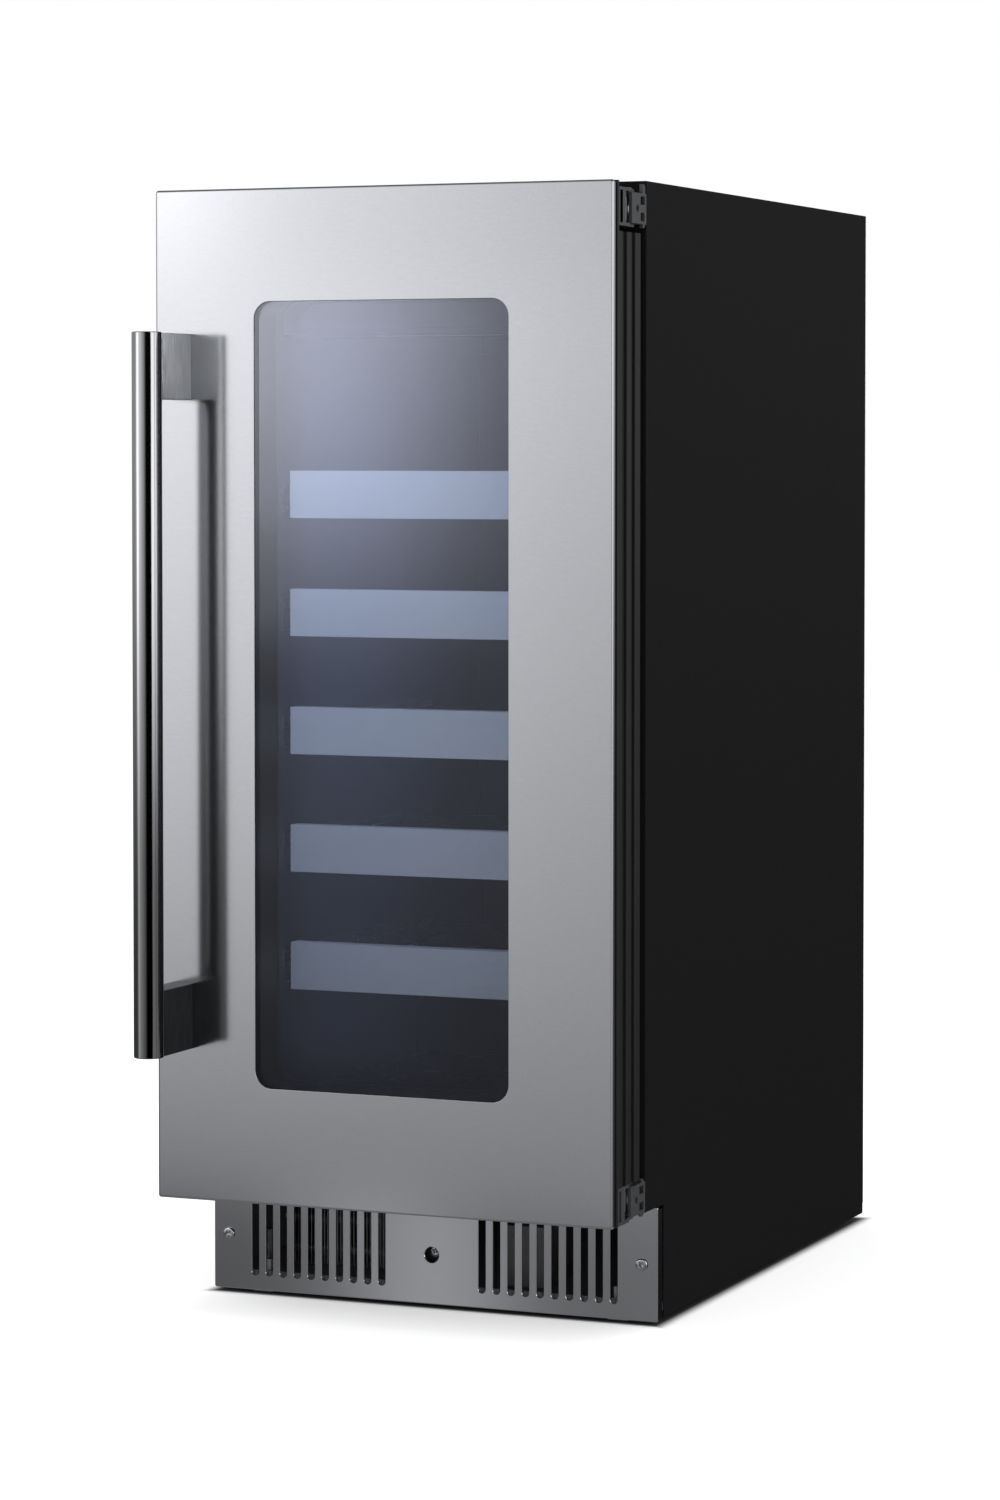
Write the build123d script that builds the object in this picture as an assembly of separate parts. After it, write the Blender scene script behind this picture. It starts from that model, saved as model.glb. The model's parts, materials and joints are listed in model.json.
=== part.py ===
from build123d import *
import os
from math import acos, cos, degrees, radians, sin, sqrt

# Undercounter wine cooler, 15 inches wide: a foamed steel cabinet, a framed glass door on
# pin hinges, five slide-out bottle racks, and the cooling unit behind a slotted kick plate.
#
# Millimetres. X runs across the front (right is +), Y runs from front to back, Z is up.
# The origin is on the floor, under the middle of the whole object's box.
# Depths, written d, are counted backwards from the face of the door.

# ---------------------------------------------------------------- driving dimensions
WIDTH = 375.0
HEIGHT = 864.0
BODY_DEPTH = 600.0            # door face to back panel
HANDLE_REACH = 66.0           # how far the handle stands out of the door
HALF_W = WIDTH / 2
DOOR_FACE_Y = HANDLE_REACH - (BODY_DEPTH + HANDLE_REACH) / 2

# sheet and wall thicknesses
STEEL_T = 0.9                 # painted cabinet sheet
SKIN_T = 0.8                  # stainless door skin
BACK_T = 0.8
PAN_T = 1.5
LINER_T = 1.5

# cabinet
CAB_FRONT = 68.0
TOE_DEPTH = 108.0             # where the side panels start below the door
TOE_Z = 91.0
SIDE_BOTTOM = 5.0
CAVITY_HALF = 147.5
CAVITY_FLOOR = 140.0
CAVITY_TOP = 800.0
CAVITY_BACK = 548.0
CAVITY_R = 10.5
STEP_DEPTH = 405.0            # the liner steps up over the compressor here
STEP_TOP = 232.0
BAY_FRONT = 443.0             # compressor bay, under the step
BAY_TOP = 190.0

# door
DOOR_BOTTOM = 89.0
DOOR_TOP = 861.5
DOOR_BACK = 56.0
SKIN_RETURN = 3.4
WINDOW_HALF = 104.3
WINDOW_BOTTOM = 178.0
WINDOW_TOP = 776.0
WINDOW_R = 13.5
REAR_WINDOW_HALF = 106.0
UNIT_MARGIN = 8.0             # how far the glass unit runs past the window, all round
GLASS_T = 4.0
INNER_GLASS_D = 41.0
STILE_W = 17.5                # side members of the plastic door frame
TOP_RAIL_H = 40.0
BOTTOM_RAIL_H = 31.6
DOOR_PANEL_T = 2.5
RIB_GROOVE = 3.0
GASKET_HALF = 168.0
GASKET_BOTTOM = 121.0
GASKET_TOP = 820.0
GASKET_BACK = 67.5

# hinges
PIN_X = 178.0
PIN_D = 50.0
PIN_R = 2.9
HINGE_H = 28.4
TOP_HINGE_Z = 828.6           # underside of the upper hinge
BOTTOM_HINGE_Z = 89.2
HINGE_T = 2.5
HINGE_GAP = 0.25
LEAF_SWEEP_R = 15.0           # the leaf's front stays inside this circle about the pin
TAB_D = 60.6                  # the web is taller behind this depth, clear of the flanges' sweep
TAB_RISE = 4.2
RECESS_X = 148.0
RECESS_D = 12.0
RECESS_TOP_Z = 824.5
RECESS_BOTTOM_Z = 117.6
EAR_R = 6.2

# handle
BAR_R = 11.4
BAR_X = -167.0
BAR_Z0 = 205.0
BAR_Z1 = 752.5
POST_W = 19.5
POST_H = 50.0
POST_INSET = 0.5              # post end to bar end

# racks
RACK_COUNT = 5
RACK_PITCH = 92.2
RACK_Z = 241.9                # bottom of the lowest front strip
STRIP_H = 37.0
STRIP_HALF = 120.5
STRIP_D = 97.5
STRIP_T = 1.2
STRIP_LIP = 13.0
RACK_HALF = 140.0
RACK_BACK = 420.5
RAIL_T = 2.5
RAIL_H = 14.0
RAIL_RISE = 6.0               # rail bottom above strip bottom
CRADLE_COUNT = 3
CRADLE_T = 3.0
CRADLE_RISE = 6.0             # cradle crests above the rails
SCOOP_DEPTH = 10.0
SCOOP_CHORDS = 3
STRINGER_W = 5.0              # bars that run front to back between the bottles
STRINGER_H = 3.0
BOTTLE_R = 38.0
BOTTLE_PITCH = 67.0
BOTTLES_ABREAST = 4
RUNNER_GAP = 0.3

# kick plate and feet
KICK_D = 96.5
KICK_T = 1.5
KICK_HALF = 187.0
KICK_BOTTOM = 2.5
KICK_TOP = 90.6
SLOT_COUNT = 10               # in each of two groups
SLOT_PITCH = 12.1
SLOT_FIRST_X = 42.3
SLOT_W = 6.0
SLOT_BOTTOM = 14.3
SLOT_TOP = 78.0
SLOT_END_CHORDS = 3
KICK_SCREW_X = 174.0
KICK_SCREW_Z = 46.0
ACCESS_R = 6.0
ACCESS_Z = 41.0
ACCESS_D = 105.0              # face of the bracket behind the round hole
LEG_X = 150.0
LEG_FRONT_D = 120.0
LEG_REAR_D = 575.0
STUD_R = 4.0
STUD_TOP = 48.0
CAGE_HALF = 6.0               # square holes in the pan, under the cage nuts
FOOT_AF = 28.0                # across the flats of the foot's pad
FOOT_H = 9.0
PAN_FRONT = 112.0
PAN_Z = 14.0
PAN_FLOOR = PAN_Z + PAN_T

# controls and cold side
CONTROL_BOTTOM = 752.5
CONTROL_FRONT = 72.0
CONTROL_BACK = 200.0
COVER_FRONT = 508.0
COVER_HALF = 135.0
COVER_Z0 = 290.0
COVER_Z1 = 748.0
EVAP_FAN_Z = 640.0
EVAP_FAN_R = 48.0

# cooling unit
COND_X = -92.0                # middle of the condenser and its fan
COND_FAN_Z = 52.0
COND_FAN_R = 34.0
COMP_X = 50.0
COMP_D = 520.0
COMP_R = 62.0
COMP_BASE = 27.0
COMP_H = 140.0
GLAND_X = -120.0
GLAND_Z = 40.0
GLAND_NECK = 14.0

RUN_FIT = 0.05                # radial clearance of everything that turns or slides in a hole


# ---------------------------------------------------------------- placing helpers
def depth(d):
    """Y of a plane that lies d behind the door's face."""
    return DOOR_FACE_Y + d


def block(x0, x1, d0, d1, z0, z1):
    """Box between two X planes, two depths and two heights."""
    centre = Pos((x0 + x1) / 2, depth((d0 + d1) / 2), (z0 + z1) / 2)
    return centre * Box(x1 - x0, d1 - d0, z1 - z0)


def panel(half_x, z0, z1, r=0.0):
    """Front-view rectangle, centred on X = 0, with corner radius r."""
    if r:
        return Pos(0, (z0 + z1) / 2) * RectangleRounded(2 * half_x, z1 - z0, r)
    return Pos(0, (z0 + z1) / 2) * Rectangle(2 * half_x, z1 - z0)


def from_front(sketch, d0, d1):
    """Extrude a front-view sketch (X across, Z up) between two depths."""
    plane = Plane(origin=(0, depth(d1), 0), x_dir=(1, 0, 0), z_dir=(0, -1, 0))
    return extrude(plane * sketch, d1 - d0)


def from_side(points, half_x):
    """Extrude a closed side-view outline of (d, z) points, centred on X = 0."""
    outline = Polyline([(depth(d), z) for d, z in points], close=True)
    plane = Plane(origin=(-half_x, 0, 0), x_dir=(0, 1, 0), z_dir=(1, 0, 0))
    return extrude(plane * make_face(outline), 2 * half_x)


def from_above(sketch, z0, z1):
    """Extrude a plan-view sketch (X across, Y back) between two heights."""
    return extrude(Plane.XY.offset(z0) * sketch, z1 - z0)


def rod_y(x, z, r, d0, d1):
    """Round bar that runs front to back."""
    return from_front(Pos(x, z) * Circle(r), d0, d1)


def facet_bar_y(x, z, r, d0, d1, sides):
    """Bar with flat sides that runs front to back; r is to its flats."""
    return from_front(Pos(x, z) * RegularPolygon(r, sides, major_radius=False), d0, d1)


def rod_z(x, d, r, z0, z1):
    """Upright round bar."""
    return from_above(Pos(x, depth(d)) * Circle(r), z0, z1)


def group(solids):
    """Separate solids of one node."""
    return Compound(children=list(solids))


def save(name, shape):
    export_step(shape, f"parts/{name}.step")


# ---------------------------------------------------------------- cabinet
def liner_form(wall, r):
    """The liner's stepped inside, grown outwards by a wall."""
    outline = [
        (CAB_FRONT, CAVITY_FLOOR - wall), (STEP_DEPTH + wall, CAVITY_FLOOR - wall),
        (STEP_DEPTH + wall, STEP_TOP - wall), (CAVITY_BACK + wall, STEP_TOP - wall),
        (CAVITY_BACK + wall, CAVITY_TOP + wall), (CAB_FRONT, CAVITY_TOP + wall),
    ]
    mouth = panel(CAVITY_HALF + wall, CAVITY_FLOOR - wall, CAVITY_TOP + wall, r)
    return from_side(outline, CAVITY_HALF + wall) & from_front(mouth, CAB_FRONT, BODY_DEPTH)


def liner():
    """Vacuum-formed tub, open at the front."""
    return liner_form(LINER_T, CAVITY_R + LINER_T) - liner_form(0, CAVITY_R)


def outer_wrap():
    """Sides, top and front frame of the cabinet, folded from one sheet."""
    back = BODY_DEPTH - BACK_T
    skin = [
        (CAB_FRONT, TOE_Z), (CAB_FRONT, HEIGHT), (back, HEIGHT),
        (back, SIDE_BOTTOM), (TOE_DEPTH, SIDE_BOTTOM), (TOE_DEPTH, TOE_Z),
    ]
    inside = [
        (CAB_FRONT + STEEL_T, TOE_Z + STEEL_T), (CAB_FRONT + STEEL_T, HEIGHT - STEEL_T),
        (BODY_DEPTH, HEIGHT - STEEL_T), (BODY_DEPTH, 0), (TOE_DEPTH, 0),
        (TOE_DEPTH, TOE_Z + STEEL_T),
    ]
    mouth = panel(CAVITY_HALF + LINER_T, CAVITY_FLOOR - LINER_T, CAVITY_TOP + LINER_T, CAVITY_R)
    shell = from_side(skin, HALF_W) - from_side(inside, HALF_W - STEEL_T)
    return shell - from_front(mouth, CAB_FRONT - 1, CAB_FRONT + STEEL_T + 1)


def cabinet_insulation():
    """Foam between the wrap and the liner, stepped up over the compressor bay."""
    floor = TOE_Z + STEEL_T
    back = BODY_DEPTH - BACK_T
    front = CAB_FRONT + STEEL_T
    foam = [
        (front, floor), (BAY_FRONT, floor), (BAY_FRONT, BAY_TOP + BACK_T),
        (back, BAY_TOP + BACK_T), (back, HEIGHT - STEEL_T), (front, HEIGHT - STEEL_T),
    ]
    return from_side(foam, HALF_W - STEEL_T) - liner_form(LINER_T, CAVITY_R)


def bottom_panel():
    """Galvanised sheet under the foam, folded round the compressor bay."""
    top = TOE_Z + STEEL_T
    back = BODY_DEPTH - BACK_T
    outline = [
        (TOE_DEPTH, top - BACK_T), (BAY_FRONT + BACK_T, top - BACK_T),
        (BAY_FRONT + BACK_T, BAY_TOP), (back, BAY_TOP), (back, BAY_TOP + BACK_T),
        (BAY_FRONT, BAY_TOP + BACK_T), (BAY_FRONT, top), (TOE_DEPTH, top),
    ]
    return from_side(outline, HALF_W - STEEL_T)


def back_panel():
    """Flat sheet that closes the foamed box from behind."""
    return from_front(panel(HALF_W, BAY_TOP, HEIGHT), BODY_DEPTH - BACK_T, BODY_DEPTH)


def rear_grille():
    """Louvred cover of the compressor bay, with the power cord's hole."""
    louvre_w, louvre_h, rows, pitch = 110.0, 5.0, 8, 13.0
    column_x, lowest = 70.0, 76.0
    sheet = panel(HALF_W, PAN_Z, BAY_TOP)
    for row in range(rows):
        for x in (-column_x, column_x):
            sheet -= Pos(x, lowest + row * pitch) * Rectangle(louvre_w, louvre_h)
    sheet -= Pos(GLAND_X, GLAND_Z) * Rectangle(GLAND_NECK, GLAND_NECK)
    return from_front(sheet, BODY_DEPTH - BACK_T, BODY_DEPTH)


def cord_gland():
    """Square snap-in bushing that the power cord passes through."""
    flange_half, flange_t, reach = 11.0, 3.0, 10.0
    seat = BODY_DEPTH - BACK_T
    neck = Pos(GLAND_X, GLAND_Z) * Rectangle(GLAND_NECK, GLAND_NECK)
    flange = Pos(GLAND_X, GLAND_Z) * Rectangle(2 * flange_half, 2 * flange_half)
    body = from_front(flange, seat - flange_t, seat) + from_front(neck, BODY_DEPTH - reach, BODY_DEPTH)
    return body - rod_y(GLAND_X, GLAND_Z, 4.5, BODY_DEPTH - reach - 1, BODY_DEPTH + 1)


def base_pan():
    """Folded tray that carries the cooling unit and the feet."""
    half = HALF_W - STEEL_T
    back = BODY_DEPTH - BACK_T
    flange_top, lip_bottom, rear_lip_top = 60.0, 9.0, 24.0
    pan = block(-half, half, PAN_FRONT, back, PAN_Z, PAN_FLOOR)
    for x0, x1 in ((-half, -half + PAN_T), (half - PAN_T, half)):
        pan += block(x0, x1, PAN_FRONT, back, PAN_FLOOR, flange_top)
    pan += block(-half, half, PAN_FRONT, PAN_FRONT + PAN_T, lip_bottom, PAN_Z)
    pan += block(-half + PAN_T, half - PAN_T, back - PAN_T, back, PAN_FLOOR, rear_lip_top)
    for x, d in leg_places():
        pan -= block(x - CAGE_HALF, x + CAGE_HALF, d - CAGE_HALF, d + CAGE_HALF, 0, PAN_FLOOR + 1)
    return pan


# ---------------------------------------------------------------- feet and kick plate
def leg_places():
    """(x, d) of the four feet: front left, front right, rear left, rear right."""
    return [(x, d) for d in (LEG_FRONT_D, LEG_REAR_D) for x in (-LEG_X, LEG_X)]


def hexagon(x, d, across_flats):
    return Pos(x, depth(d)) * RegularPolygon(across_flats / 2, 6, major_radius=False)


def leg_nuts():
    """Cage nuts on the pan, which the feet screw up and down in."""
    nuts = []
    for x, d in leg_places():
        nut = from_above(hexagon(x, d, 16.0), PAN_FLOOR, PAN_FLOOR + 9.0)
        nuts.append(nut - rod_z(x, d, STUD_R + RUN_FIT, 0, STUD_TOP))
    return group(nuts)


def leg(x, d):
    """Levelling foot: a six-sided pad for the spanner and a stud."""
    pad = chamfer(from_above(hexagon(x, d, FOOT_AF), 0, FOOT_H).edges().group_by(Axis.Z)[-1], 2.0)
    return pad + rod_z(x, d, STUD_R, FOOT_H, STUD_TOP)


def slot_outline():
    """Upright slot about its own middle; each round end is a fan of a few chords."""
    r = SLOT_W / 2
    reach = (SLOT_TOP - SLOT_BOTTOM) / 2 - r
    upper = [180 * i / SLOT_END_CHORDS for i in range(SLOT_END_CHORDS + 1)]
    points = [(r * cos(radians(a)), reach + r * sin(radians(a))) for a in upper]
    points += [(-x, -z) for x, z in points]
    return make_face(Polyline(points, close=True))


def kick_plate():
    """Stainless plinth with two groups of upright slots."""
    side_return, corner = 9.5, 2.0
    face = panel(KICK_HALF, KICK_BOTTOM, KICK_TOP, corner)
    slot_z = (SLOT_TOP + SLOT_BOTTOM) / 2
    face -= [
        Pos(side * (SLOT_FIRST_X + i * SLOT_PITCH), slot_z) * slot_outline()
        for side in (-1, 1) for i in range(SLOT_COUNT)
    ]
    face -= Pos(0, ACCESS_Z) * Circle(ACCESS_R)
    for x in (-KICK_SCREW_X, KICK_SCREW_X):
        face -= Pos(x, KICK_SCREW_Z) * RegularPolygon(2.4, 8, major_radius=False)
    plate = from_front(face, KICK_D, KICK_D + KICK_T)
    inner = KICK_HALF - KICK_T
    for x0, x1 in ((-KICK_HALF, -inner), (inner, KICK_HALF)):
        plate += block(x0, x1, KICK_D + KICK_T, KICK_D + side_return,
                       KICK_BOTTOM + corner, KICK_TOP - corner)
    return plate


def kick_brackets():
    """Two side tabs that hold the kick plate, and the middle bracket behind its hole."""
    tab_d = KICK_D + KICK_T
    outer = HALF_W - STEEL_T - PAN_T
    brackets = []
    for side in (-1, 1):
        lo, hi = sorted((side * 166.0, side * (outer - 2.0)))
        tab = block(lo, hi, tab_d, tab_d + PAN_T, 34.0, 58.0)
        lo, hi = sorted((side * (outer - PAN_T), side * outer))
        leg_plate = block(lo, hi, PAN_FRONT, PAN_FRONT + 30.0, 34.0, 58.0)
        lo, hi = sorted((side * (outer - 2 * PAN_T), side * (outer - PAN_T)))
        link = block(lo, hi, tab_d, PAN_FRONT + 30.0, 34.0, 58.0)
        brackets.append(tab + link + leg_plate)
    middle = block(-15.0, 15.0, ACCESS_D, ACCESS_D + PAN_T, PAN_FLOOR, 58.0)
    middle += block(-15.0, 15.0, ACCESS_D, PAN_FRONT + 22.0, PAN_FLOOR, PAN_FLOOR + PAN_T)
    brackets.append(middle)
    return group(brackets)


def hex_head(x, z, seat_d, toward, across_flats=8.0, height=3.0):
    """Hexagon screw head that stands on a plate, in front of its seat or behind it."""
    d0, d1 = sorted((seat_d, seat_d - toward * height))
    return facet_bar_y(x, z, across_flats / 2, d0, d1, 6)


def plinth_screws():
    """Two pan heads on the kick plate, and the hexagon head behind its round hole."""
    head_r, head_h, shank_r, sides = 4.8, 2.8, 1.9, 16
    screws = [
        facet_bar_y(x, KICK_SCREW_Z, head_r, KICK_D - head_h, KICK_D, sides)
        + facet_bar_y(x, KICK_SCREW_Z, shank_r, KICK_D, KICK_D + KICK_T, 6)
        for x in (-KICK_SCREW_X, KICK_SCREW_X)
    ]
    screws.append(hex_head(0, ACCESS_Z + 2, ACCESS_D, 1))
    return group(screws)


# ---------------------------------------------------------------- cooling unit
def compressor():
    """Hermetic can on its mounting plate, drawn in at the shoulder."""
    plate_t, shoulder, sides = 2.0, 24.0, 28
    base = COMP_BASE + plate_t
    can = from_above(Pos(COMP_X, depth(COMP_D)) * RegularPolygon(COMP_R, sides), base, COMP_BASE + COMP_H)
    body = chamfer(can.edges().group_by(Axis.Z)[-1], shoulder)
    plate = Pos(COMP_X, depth(COMP_D)) * Rectangle(176.0, 116.0)
    box = block(COMP_X + COMP_R - 6, COMP_X + COMP_R + 24, COMP_D - 22, COMP_D + 22, 70, 112)
    plate = from_above(plate, COMP_BASE, base)
    return body + plate + box


def compressor_feet():
    """Rubber grommets between the pan and the compressor's plate."""
    feet = []
    for x in (COMP_X - 74, COMP_X + 74):
        for d in (COMP_D - 44, COMP_D + 44):
            eight_sided = Pos(x, depth(d)) * RegularPolygon(9.0, 8, major_radius=False)
            feet.append(from_above(eight_sided, PAN_FLOOR, COMP_BASE))
    return group(feet)


def drain_tray():
    """Tray on top of the compressor, where condensate dries off."""
    z = COMP_BASE + COMP_H
    wall = 1.5
    half_x, half_d, height = 56.0, 50.0, 14.0
    outer = block(COMP_X - half_x, COMP_X + half_x, COMP_D - half_d, COMP_D + half_d, z, z + height)
    inner = block(COMP_X - half_x + wall, COMP_X + half_x - wall, COMP_D - half_d + wall,
                  COMP_D + half_d - wall, z + wall, z + height + 1)
    return chamfer(outer.edges().filter_by(Axis.Z), 8.0) - chamfer(inner.edges().filter_by(Axis.Z), 7.0)


def finned_block(x, half_x, d0, d1, z0, z1, fins, fin_t, header):
    """Upright fins between a lower and an upper header."""
    body = block(x - half_x, x + half_x, d0, d1, z0, z0 + header)
    body += block(x - half_x, x + half_x, d0, d1, z1 - header, z1)
    for i in range(fins):
        fin_x = x - half_x + i * (2 * half_x - fin_t) / (fins - 1)
        body += block(fin_x, fin_x + fin_t, d0, d1, z0 + header, z1 - header)
    return body


def condenser():
    """Finned block that stands on the pan behind the left group of slots."""
    return finned_block(COND_X, 62.0, 150.0, 176.0, PAN_FLOOR, 88.0, 12, 1.2, 5.0)


def condenser_fan_shroud():
    """Square duct plate with a round throat, on the back of the condenser."""
    half_x, z1, d0, d1 = 62.0, 88.0, 176.0, 196.0
    wall = 1.8
    duct = block(COND_X - half_x, COND_X + half_x, d0, d1, PAN_FLOOR, z1)
    duct -= block(COND_X - half_x + wall, COND_X + half_x - wall, d0 - 1, d1 - wall,
                  PAN_FLOOR + wall, z1 - wall)
    return duct - rod_y(COND_X, COND_FAN_Z, COND_FAN_R, d1 - wall - 1, d1 + 1)


def fan_motor(x, z, d0, d1, half, shaft_d0, bracket_half):
    """Square motor with a shaft towards the front and a strap that carries it."""
    strap_t, strap_h = 2.0, 14.0
    motor = chamfer(block(x - half, x + half, d0, d1, z - half, z + half).edges().filter_by(Axis.Y), 4.0)
    strap = block(x - bracket_half, x + bracket_half, d1 - strap_t, d1, z - strap_h / 2, z + strap_h / 2)
    return motor + strap + rod_y(x, z, 2.0, shaft_d0, d0)


def condenser_fan_motor():
    """Motor on two uprights that stand on the pan."""
    d0, d1, post_half = 208.0, 232.0, 46.0
    motor = fan_motor(COND_X, COND_FAN_Z, d0, d1, 16.0, 196.0, post_half)
    for side in (-1, 1):
        lo, hi = sorted((COND_X + side * post_half, COND_X + side * (post_half - 4.0)))
        motor += block(lo, hi, d1 - 10.0, d1, PAN_FLOOR, COND_FAN_Z + 7.0)
    return motor


def fan_blades(x, z, d0, d1, r, blade_count, hub_r):
    """Hub with pitched blades, bored to run with its motor's shaft."""
    hub = facet_bar_y(x, z, hub_r, d0, d1, 16) - rod_y(x, z, 2.0 + RUN_FIT, d0 - 1, d1 + 1)
    blade_t, pitch_angle = 1.4, 28.0
    blade_len = r - hub_r + 2.0
    chord = 0.5 * r
    blade = Rot(pitch_angle, 0, 0) * Box(blade_len, blade_t, chord)
    blade = Pos(hub_r - 2.0 + blade_len / 2, 0, 0) * blade
    blade = blade & Box(4 * r, d1 - d0, 4 * r)
    fan = hub
    for i in range(blade_count):
        fan += Pos(x, depth((d0 + d1) / 2), z) * Rot(0, 360 * i / blade_count, 0) * blade
    return fan


def junction_box():
    """Covered terminal box on the pan, behind the right group of slots."""
    box = block(48.0, 84.0, 124.0, 190.0, PAN_FLOOR, 62.0)
    lid = block(46.5, 85.5, 122.5, 191.5, 56.0, 64.0)
    return box + lid


# ---------------------------------------------------------------- cold side
def evaporator_cover():
    """Moulded cover on the cavity's back wall, with a fan grille and return slots."""
    wall = 2.0
    slot_w, slot_h, slots, slot_pitch, slot_z = 9.0, 44.0, 9, 24.0, 332.0
    cover = from_front(panel(COVER_HALF, COVER_Z0, COVER_Z1), COVER_FRONT, CAVITY_BACK)
    cover -= from_front(panel(COVER_HALF - wall, COVER_Z0 + wall, COVER_Z1 - wall),
                        COVER_FRONT + wall, CAVITY_BACK + 1)
    cover = chamfer(cover.faces().sort_by(Axis.Y)[0].outer_wire().edges(), 1.5)
    throat = Pos(0, EVAP_FAN_Z) * Circle(EVAP_FAN_R)
    spokes = Pos(0, EVAP_FAN_Z) * (Rectangle(2 * EVAP_FAN_R + 2, 6.0) + Rectangle(6.0, 2 * EVAP_FAN_R + 2))
    cover -= from_front(throat - spokes, COVER_FRONT - 1, COVER_FRONT + wall + 1)
    for i in range(slots):
        x = (i - (slots - 1) / 2) * slot_pitch
        cover -= block(x - slot_w / 2, x + slot_w / 2, COVER_FRONT - 1, COVER_FRONT + wall + 1,
                       slot_z - slot_h / 2, slot_z + slot_h / 2)
    return cover


def evaporator():
    """Finned block against the liner's back wall, under its fan."""
    return finned_block(0, 108.0, 522.0, CAVITY_BACK, 400.0, 540.0, 12, 1.2, 7.0)


def evaporator_fan_motor():
    """Motor that stands on the cavity's back wall."""
    return fan_motor(0, EVAP_FAN_Z, 528.0, CAVITY_BACK, 18.0, 515.0, 40.0)


# ---------------------------------------------------------------- controls
def control_housing():
    """Hollow moulding under the cavity's ceiling."""
    wall, corner = 2.0, 12.0
    half = CAVITY_HALF
    lens_half, lens_d0, lens_d1 = 62.0, 118.0, 142.0
    outline = Polyline([
        (-half, CONTROL_BOTTOM), (half, CONTROL_BOTTOM), (half, CAVITY_TOP - corner),
        (half - corner, CAVITY_TOP), (corner - half, CAVITY_TOP), (-half, CAVITY_TOP - corner),
    ], close=True)
    body = from_front(make_face(outline), CONTROL_FRONT, CONTROL_BACK)
    body -= block(-half + wall, half - wall, CONTROL_FRONT + wall, CONTROL_BACK - wall,
                  CONTROL_BOTTOM + wall, CAVITY_TOP - corner)
    return body - block(-lens_half, lens_half, lens_d0, lens_d1, CONTROL_BOTTOM - 1, CONTROL_BOTTOM + wall + 1)


def control_glass():
    """Black glass of the touch panel, on the housing's front."""
    face = panel(118.0, CONTROL_BOTTOM + 5, CAVITY_TOP - 9)
    return from_front(face, CONTROL_FRONT - 2.0, CONTROL_FRONT)


def led_lens():
    """Milky strip under the housing that the lamps shine through."""
    return block(-62.0, 62.0, 118.0, 142.0, CONTROL_BOTTOM, CONTROL_BOTTOM + 2.0)


def control_board():
    """Circuit board that lies on the housing's floor."""
    floor = CONTROL_BOTTOM + 2.0
    board = block(-58.0, 58.0, 84.0, 114.0, floor, floor + 1.6)
    board += block(-40.0, -16.0, 88.0, 108.0, floor + 1.6, floor + 12.0)
    board += block(10.0, 30.0, 90.0, 106.0, floor + 1.6, floor + 8.0)
    return board


# ---------------------------------------------------------------- racks
def cradle_bar(half, z0, z1, d):
    """Cross bar whose top edge is scooped to the round of each bottle, in a few chords."""
    centre_z = z1 - SCOOP_DEPTH + BOTTLE_R
    half_angle = degrees(acos((BOTTLE_R - SCOOP_DEPTH) / BOTTLE_R))
    outline = [(half, z0), (-half, z0), (-half, z1)]
    for i in range(BOTTLES_ABREAST):
        x = (i - (BOTTLES_ABREAST - 1) / 2) * BOTTLE_PITCH
        for k in range(SCOOP_CHORDS + 1):
            a = radians(half_angle * (2 * k / SCOOP_CHORDS - 1))
            outline.append((x + BOTTLE_R * sin(a), centre_z - BOTTLE_R * cos(a)))
    outline.append((half, z1))
    return from_front(make_face(Polyline(outline, close=True)), d, d + CRADLE_T)


def bottle_rack(z0, back, half=RACK_HALF):
    """Welded rack: rails all round, scooped cradle bars and stringers; z0 is its underside."""
    z1 = z0 + RAIL_H
    front = STRIP_D + STRIP_T
    bar_z0 = z0 + STRINGER_H
    inner = half - RAIL_T
    rack = block(-half, half, front, back, z0, z1)
    rack -= block(-inner, inner, front + RAIL_T, back - RAIL_T, z0 - 1, z1 + 1)
    span = back - front
    for i in range(CRADLE_COUNT):
        d = front + span * (i + 0.7) / (CRADLE_COUNT + 0.4)
        rack += cradle_bar(inner, bar_z0, z1 + CRADLE_RISE, d)
    for i in range(1, BOTTLES_ABREAST):
        x = (i - BOTTLES_ABREAST / 2) * BOTTLE_PITCH
        rack += block(x - STRINGER_W / 2, x + STRINGER_W / 2, front, back, z0, bar_z0)
    return rack


def rack_strip(z):
    """Folded stainless strip on the front of a rack."""
    strip = block(-STRIP_HALF, STRIP_HALF, STRIP_D, STRIP_D + STRIP_LIP, z, z + STRIP_H)
    return strip - block(-STRIP_HALF - 1, STRIP_HALF + 1, STRIP_D + STRIP_T, STRIP_D + STRIP_LIP + 1,
                         z + STRIP_T, z + STRIP_H - STRIP_T)


def shelf_runners():
    """Angle rails on the liner's walls, one pair for each sliding rack."""
    front, back, web_t, web_h, shelf_t = 106.0, 434.0, 1.6, 22.0, 2.2
    inner = RACK_HALF - 3.5
    runners = []
    for level in range(RACK_COUNT):
        top = rack_level(level) + RAIL_RISE - RUNNER_GAP
        for side in (-1, 1):
            lo, hi = sorted((side * inner, side * CAVITY_HALF))
            shelf = block(lo, hi, front, back, top - shelf_t, top)
            lo, hi = sorted((side * (CAVITY_HALF - web_t), side * CAVITY_HALF))
            runners.append(shelf + block(lo, hi, front, back, top, top + web_h - shelf_t))
    return group(runners)


def rack_level(level):
    """Bottom of a rack's front strip; level 0 is the lowest sliding rack."""
    return RACK_Z + level * RACK_PITCH


# ---------------------------------------------------------------- door
def window_unit(margin, r=0.0):
    """Front view of the glass unit, which runs past the window by a margin."""
    return panel(WINDOW_HALF + margin, WINDOW_BOTTOM - margin, WINDOW_TOP + margin, r)


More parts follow.
